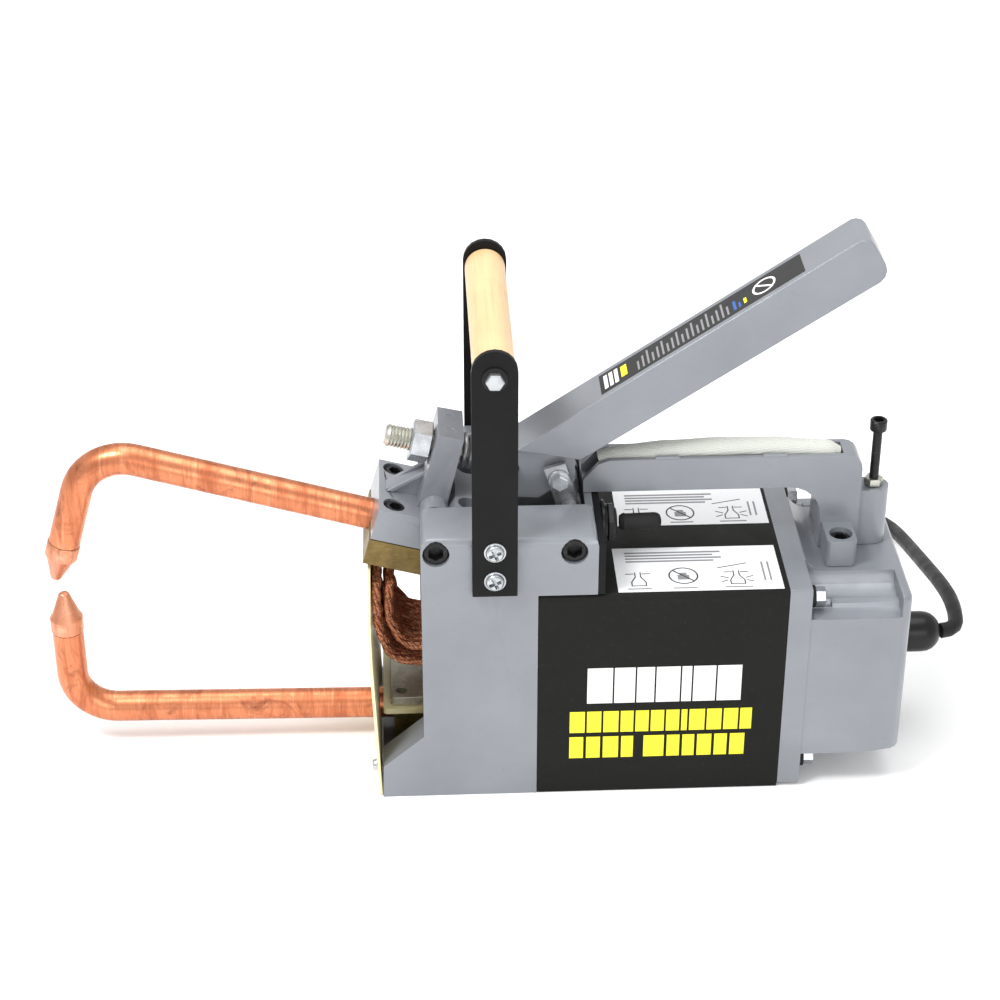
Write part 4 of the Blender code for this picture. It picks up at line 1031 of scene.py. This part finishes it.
def socket_head(name, node, place, direction, radius, height, body="housing", shank=8.0):
    """A socket cap screw: a round head with a hexagon recess."""
    rows = [(-shank, 0), (-shank, radius * 0.55), (0, radius * 0.55), (0.0, radius - 0.2), (0.4, radius),
            (height - 0.5, radius), (height, radius - 0.5), (height, radius * 0.58, 6),
            (height * 0.45, radius * 0.55, 6), (height * 0.4, 0)]
    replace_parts(turned(name, rows, place, direction, OXIDE, body, smooth=30), node)


def fasteners():
    for side, label in ((-1, "near"), (1, "far")):
        out = (0, side, 0)
        for number, z in ((1, 134.7), (2, 151.4)):
            screw = crosshead("strap_crosshead_%s_%d" % (label, number), (STRAP_X, side * 63.4, z), out, 4.7)
            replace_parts(screw, "strap_screw_%s_%d" % (label, number))
        hex_head("grip_hex_" + label, "grip_bolt_" + label, (STRAP_X, side * 63.3, GRIP_Z), out,
                 4.0, 3.2, 6.2, 1.3, 20)
        for name, (x, z) in (("arm", ARM_PIVOT), ("link", LINK_PIVOT)):
            socket_head("%s_socket_%s" % (name, label), "%s_screw_%s" % (name, label),
                        (x, side * 50.8, z), out, 6.3, 7.6)
        for level, z in (("upper", BOLT_TOP), ("lower", 12.3)):
            hex_head("cover_hex_%s_%s" % (label, level), "cover_bolt_%s_%s" % (label, level),
                     (FLANGE_REAR + 0.3, side * BOLT_Y, z), (1, 0, 0), 4.2, 5.4, 5.7, 2.7, 12)
        socket_head("lug_socket_" + label, "lug_screw_" + label, (LUG_X, side * 20.0, 123.4), (0, 0, 1),
                    5.2, 5.4, shank=14)
        crosshead("panel_crosshead_" + label, (-82.95, side * 53.0, 16.0), (-1, 0, -0.03), 3.0)
        up = (math.sin(ARM_TILT), 0, math.cos(ARM_TILT))
        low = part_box("clamp_screw_" + label)
        middle = (low[0] + low[1]) / 2
        top = Vector((middle.x / MM - DATUM_X, middle.y / MM, middle.z / MM)) + Vector(up) * 7.0
        socket_head("clamp_socket_" + label, "clamp_screw_" + label, top, up, 5.1, 5.4, "upper_arm", 14)
    socket_head("stop_socket", "stop_screw", (STOP_X, 0, 180.4), (0, 0, 1), 4.4, 5.8, shank=54)
    rows = [(0.3, 3.0), (0.3, 3.8, 6), (0.7, 4.3, 6), (3.8, 4.3, 6), (4.2, 3.8, 6), (4.2, 3.0)]
    nut = turned("stop_hex_nut", rows, (STOP_X, 0, 148.2), (0, 0, 1), ZINC_WARM, "housing", smooth=30)
    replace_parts(nut, "stop_lock_nut")


# ------------------------------------------------------------------ grip, switch, wires, gland and cord tie

def grip():
    rows = [(-60, 0), (-60, 9.6), (-59.2, 10.3), (-57, 10.4), (57, 10.4), (59.2, 10.3), (60, 9.6), (60, 0)]
    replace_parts(turned("grip_rod", rows, (STRAP_X, 0, GRIP_Z), (0, 1, 0), WOOD, "housing", 64), "wooden_grip")


def switch():
    place = (EAR_REAR + 3.6, SWITCH_Y, SWITCH_Z)
    rows = [(-9.5, 0), (-9.5, 4.8), (0.3, 4.8), (0.3, 11.0), (0.8, 11.6), (1.9, 11.6), (2.3, 11.0),
            (2.4, 9.8), (3.4, 9.4), (3.45, 5.6), (8.2, 5.6), (8.2, 0)]
    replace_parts(turned("toggle_body", rows, place, (1, 0, 0), MOULDED, "housing"), "toggle_switch")
    rows = [(3.7, 5.6), (3.7, 9.0, 6), (4.2, 9.5, 6), (6.4, 9.5, 6), (6.9, 9.0, 6), (7.0, 8.0), (7.9, 7.6),
            (8.4, 6.8), (8.4, 5.6)]
    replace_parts(turned("toggle_hex", rows, place, (1, 0, 0), MOULDED, "housing", smooth=30), "toggle_nut")
    low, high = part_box("toggle_boot")
    start = low.x / MM - DATUM_X
    length = (high.x - low.x) / MM
    rows = [(0, 0), (0, 3.3), (1.2, 4.1), (2.2, 4.6), (3.0, 4.3), (4.0, 4.3), (length - 3.4, 4.6),
            (length - 1.8, 4.2), (length - 0.7, 3.3), (length - 0.15, 1.8), (length, 0)]
    boot = turned("toggle_rubber", rows, (start, SWITCH_Y, SWITCH_Z), (1, 0, 0), RUBBER, "toggle", 40)
    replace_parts(boot, "toggle_boot")


def sleeve():
    middle = [(34, 165.6), (44, 168.2), (60, 170.2), (85, 171.6), (106, 171.8), (128, 171.2), (146, 169.6),
              (157.0, 167.2)]
    line = smooth_line([(x, 0.0, z) for x, z in middle], 2.0)
    rng = random.Random(5)
    radii = [5.25 + 0.18 * math.sin(i * 0.55) + rng.uniform(-0.06, 0.06) for i in range(len(line))]
    radii[-1], radii[-2] = 3.6, 4.7
    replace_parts(tube("woven_sleeve", line, radii, SLEEVE, "housing", 32), "wire_sleeve")


def gland():
    rows = [(-5.4, 0), (-5.4, 8.0), (0.3, 8.0), (0.3, 11.2, 16), (0.9, 11.6, 16), (5.4, 11.6, 16),
            (6.0, 11.2, 16), (6.6, 10.7), (7.2, 10.9), (19.6, 10.9), (22.6, 10.5), (25.0, 9.5), (27.0, 7.9),
            (28.6, 5.9), (29.1, 4.5), (29.1, 0)]
    dome = turned("gland_dome", rows, (COVER_REAR, 0, GLAND_Z), (1, 0, 0), MOULDED, "housing", 64)
    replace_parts(dome, "cord_gland")


def cord_tie():
    """A strap round the coil's turns."""
    cx, cy = COIL_CENTRE
    mean, half = 46.4, 13.4         # the turns' mean radius and half their spread
    loop = [(mean - half, 0.7), (mean + half, 0.7), (mean + half, 9.0), (mean + half - 6, 16.6),
            (mean - 8, 16.8), (mean - half, 9.4)]
    bm = bmesh.new()
    rings = []
    for grow, y in ((0.0, -2.0), (0.0, 2.0), (0.7, 2.0), (0.7, -2.0)):
        ring = []
        for r, z in loop:
            away = Vector((r - mean, 0, z - 8.6)).normalized() * grow
            ring.append(bm.verts.new((cx - r - away.x, cy + y, max(z + away.z, 0.15))))
        rings.append(ring)
    for low, high in zip(rings, rings[1:] + rings[:1]):
        bridge(bm, low, high)
    emit("cord_tie", bm, BLACK, "housing", smooth=30)


castings()
casting_marks()
side_prints()
top_labels()
lever_label()
tongs()
braided_strap()
pressure_rod()
link_fastening()
fasteners()
grip()
switch()
sleeve()
gland()
cord_tie()

repaint(PANEL, "front_panel", "insulator_sheet")
repaint(COPPER_RUN, "secondary_turn")
repaint(STEEL, "lever_pin", "arm_shaft", "link_shaft")
repaint(WINDING, "primary_coil")
repaint(CORE, "transformer_core")
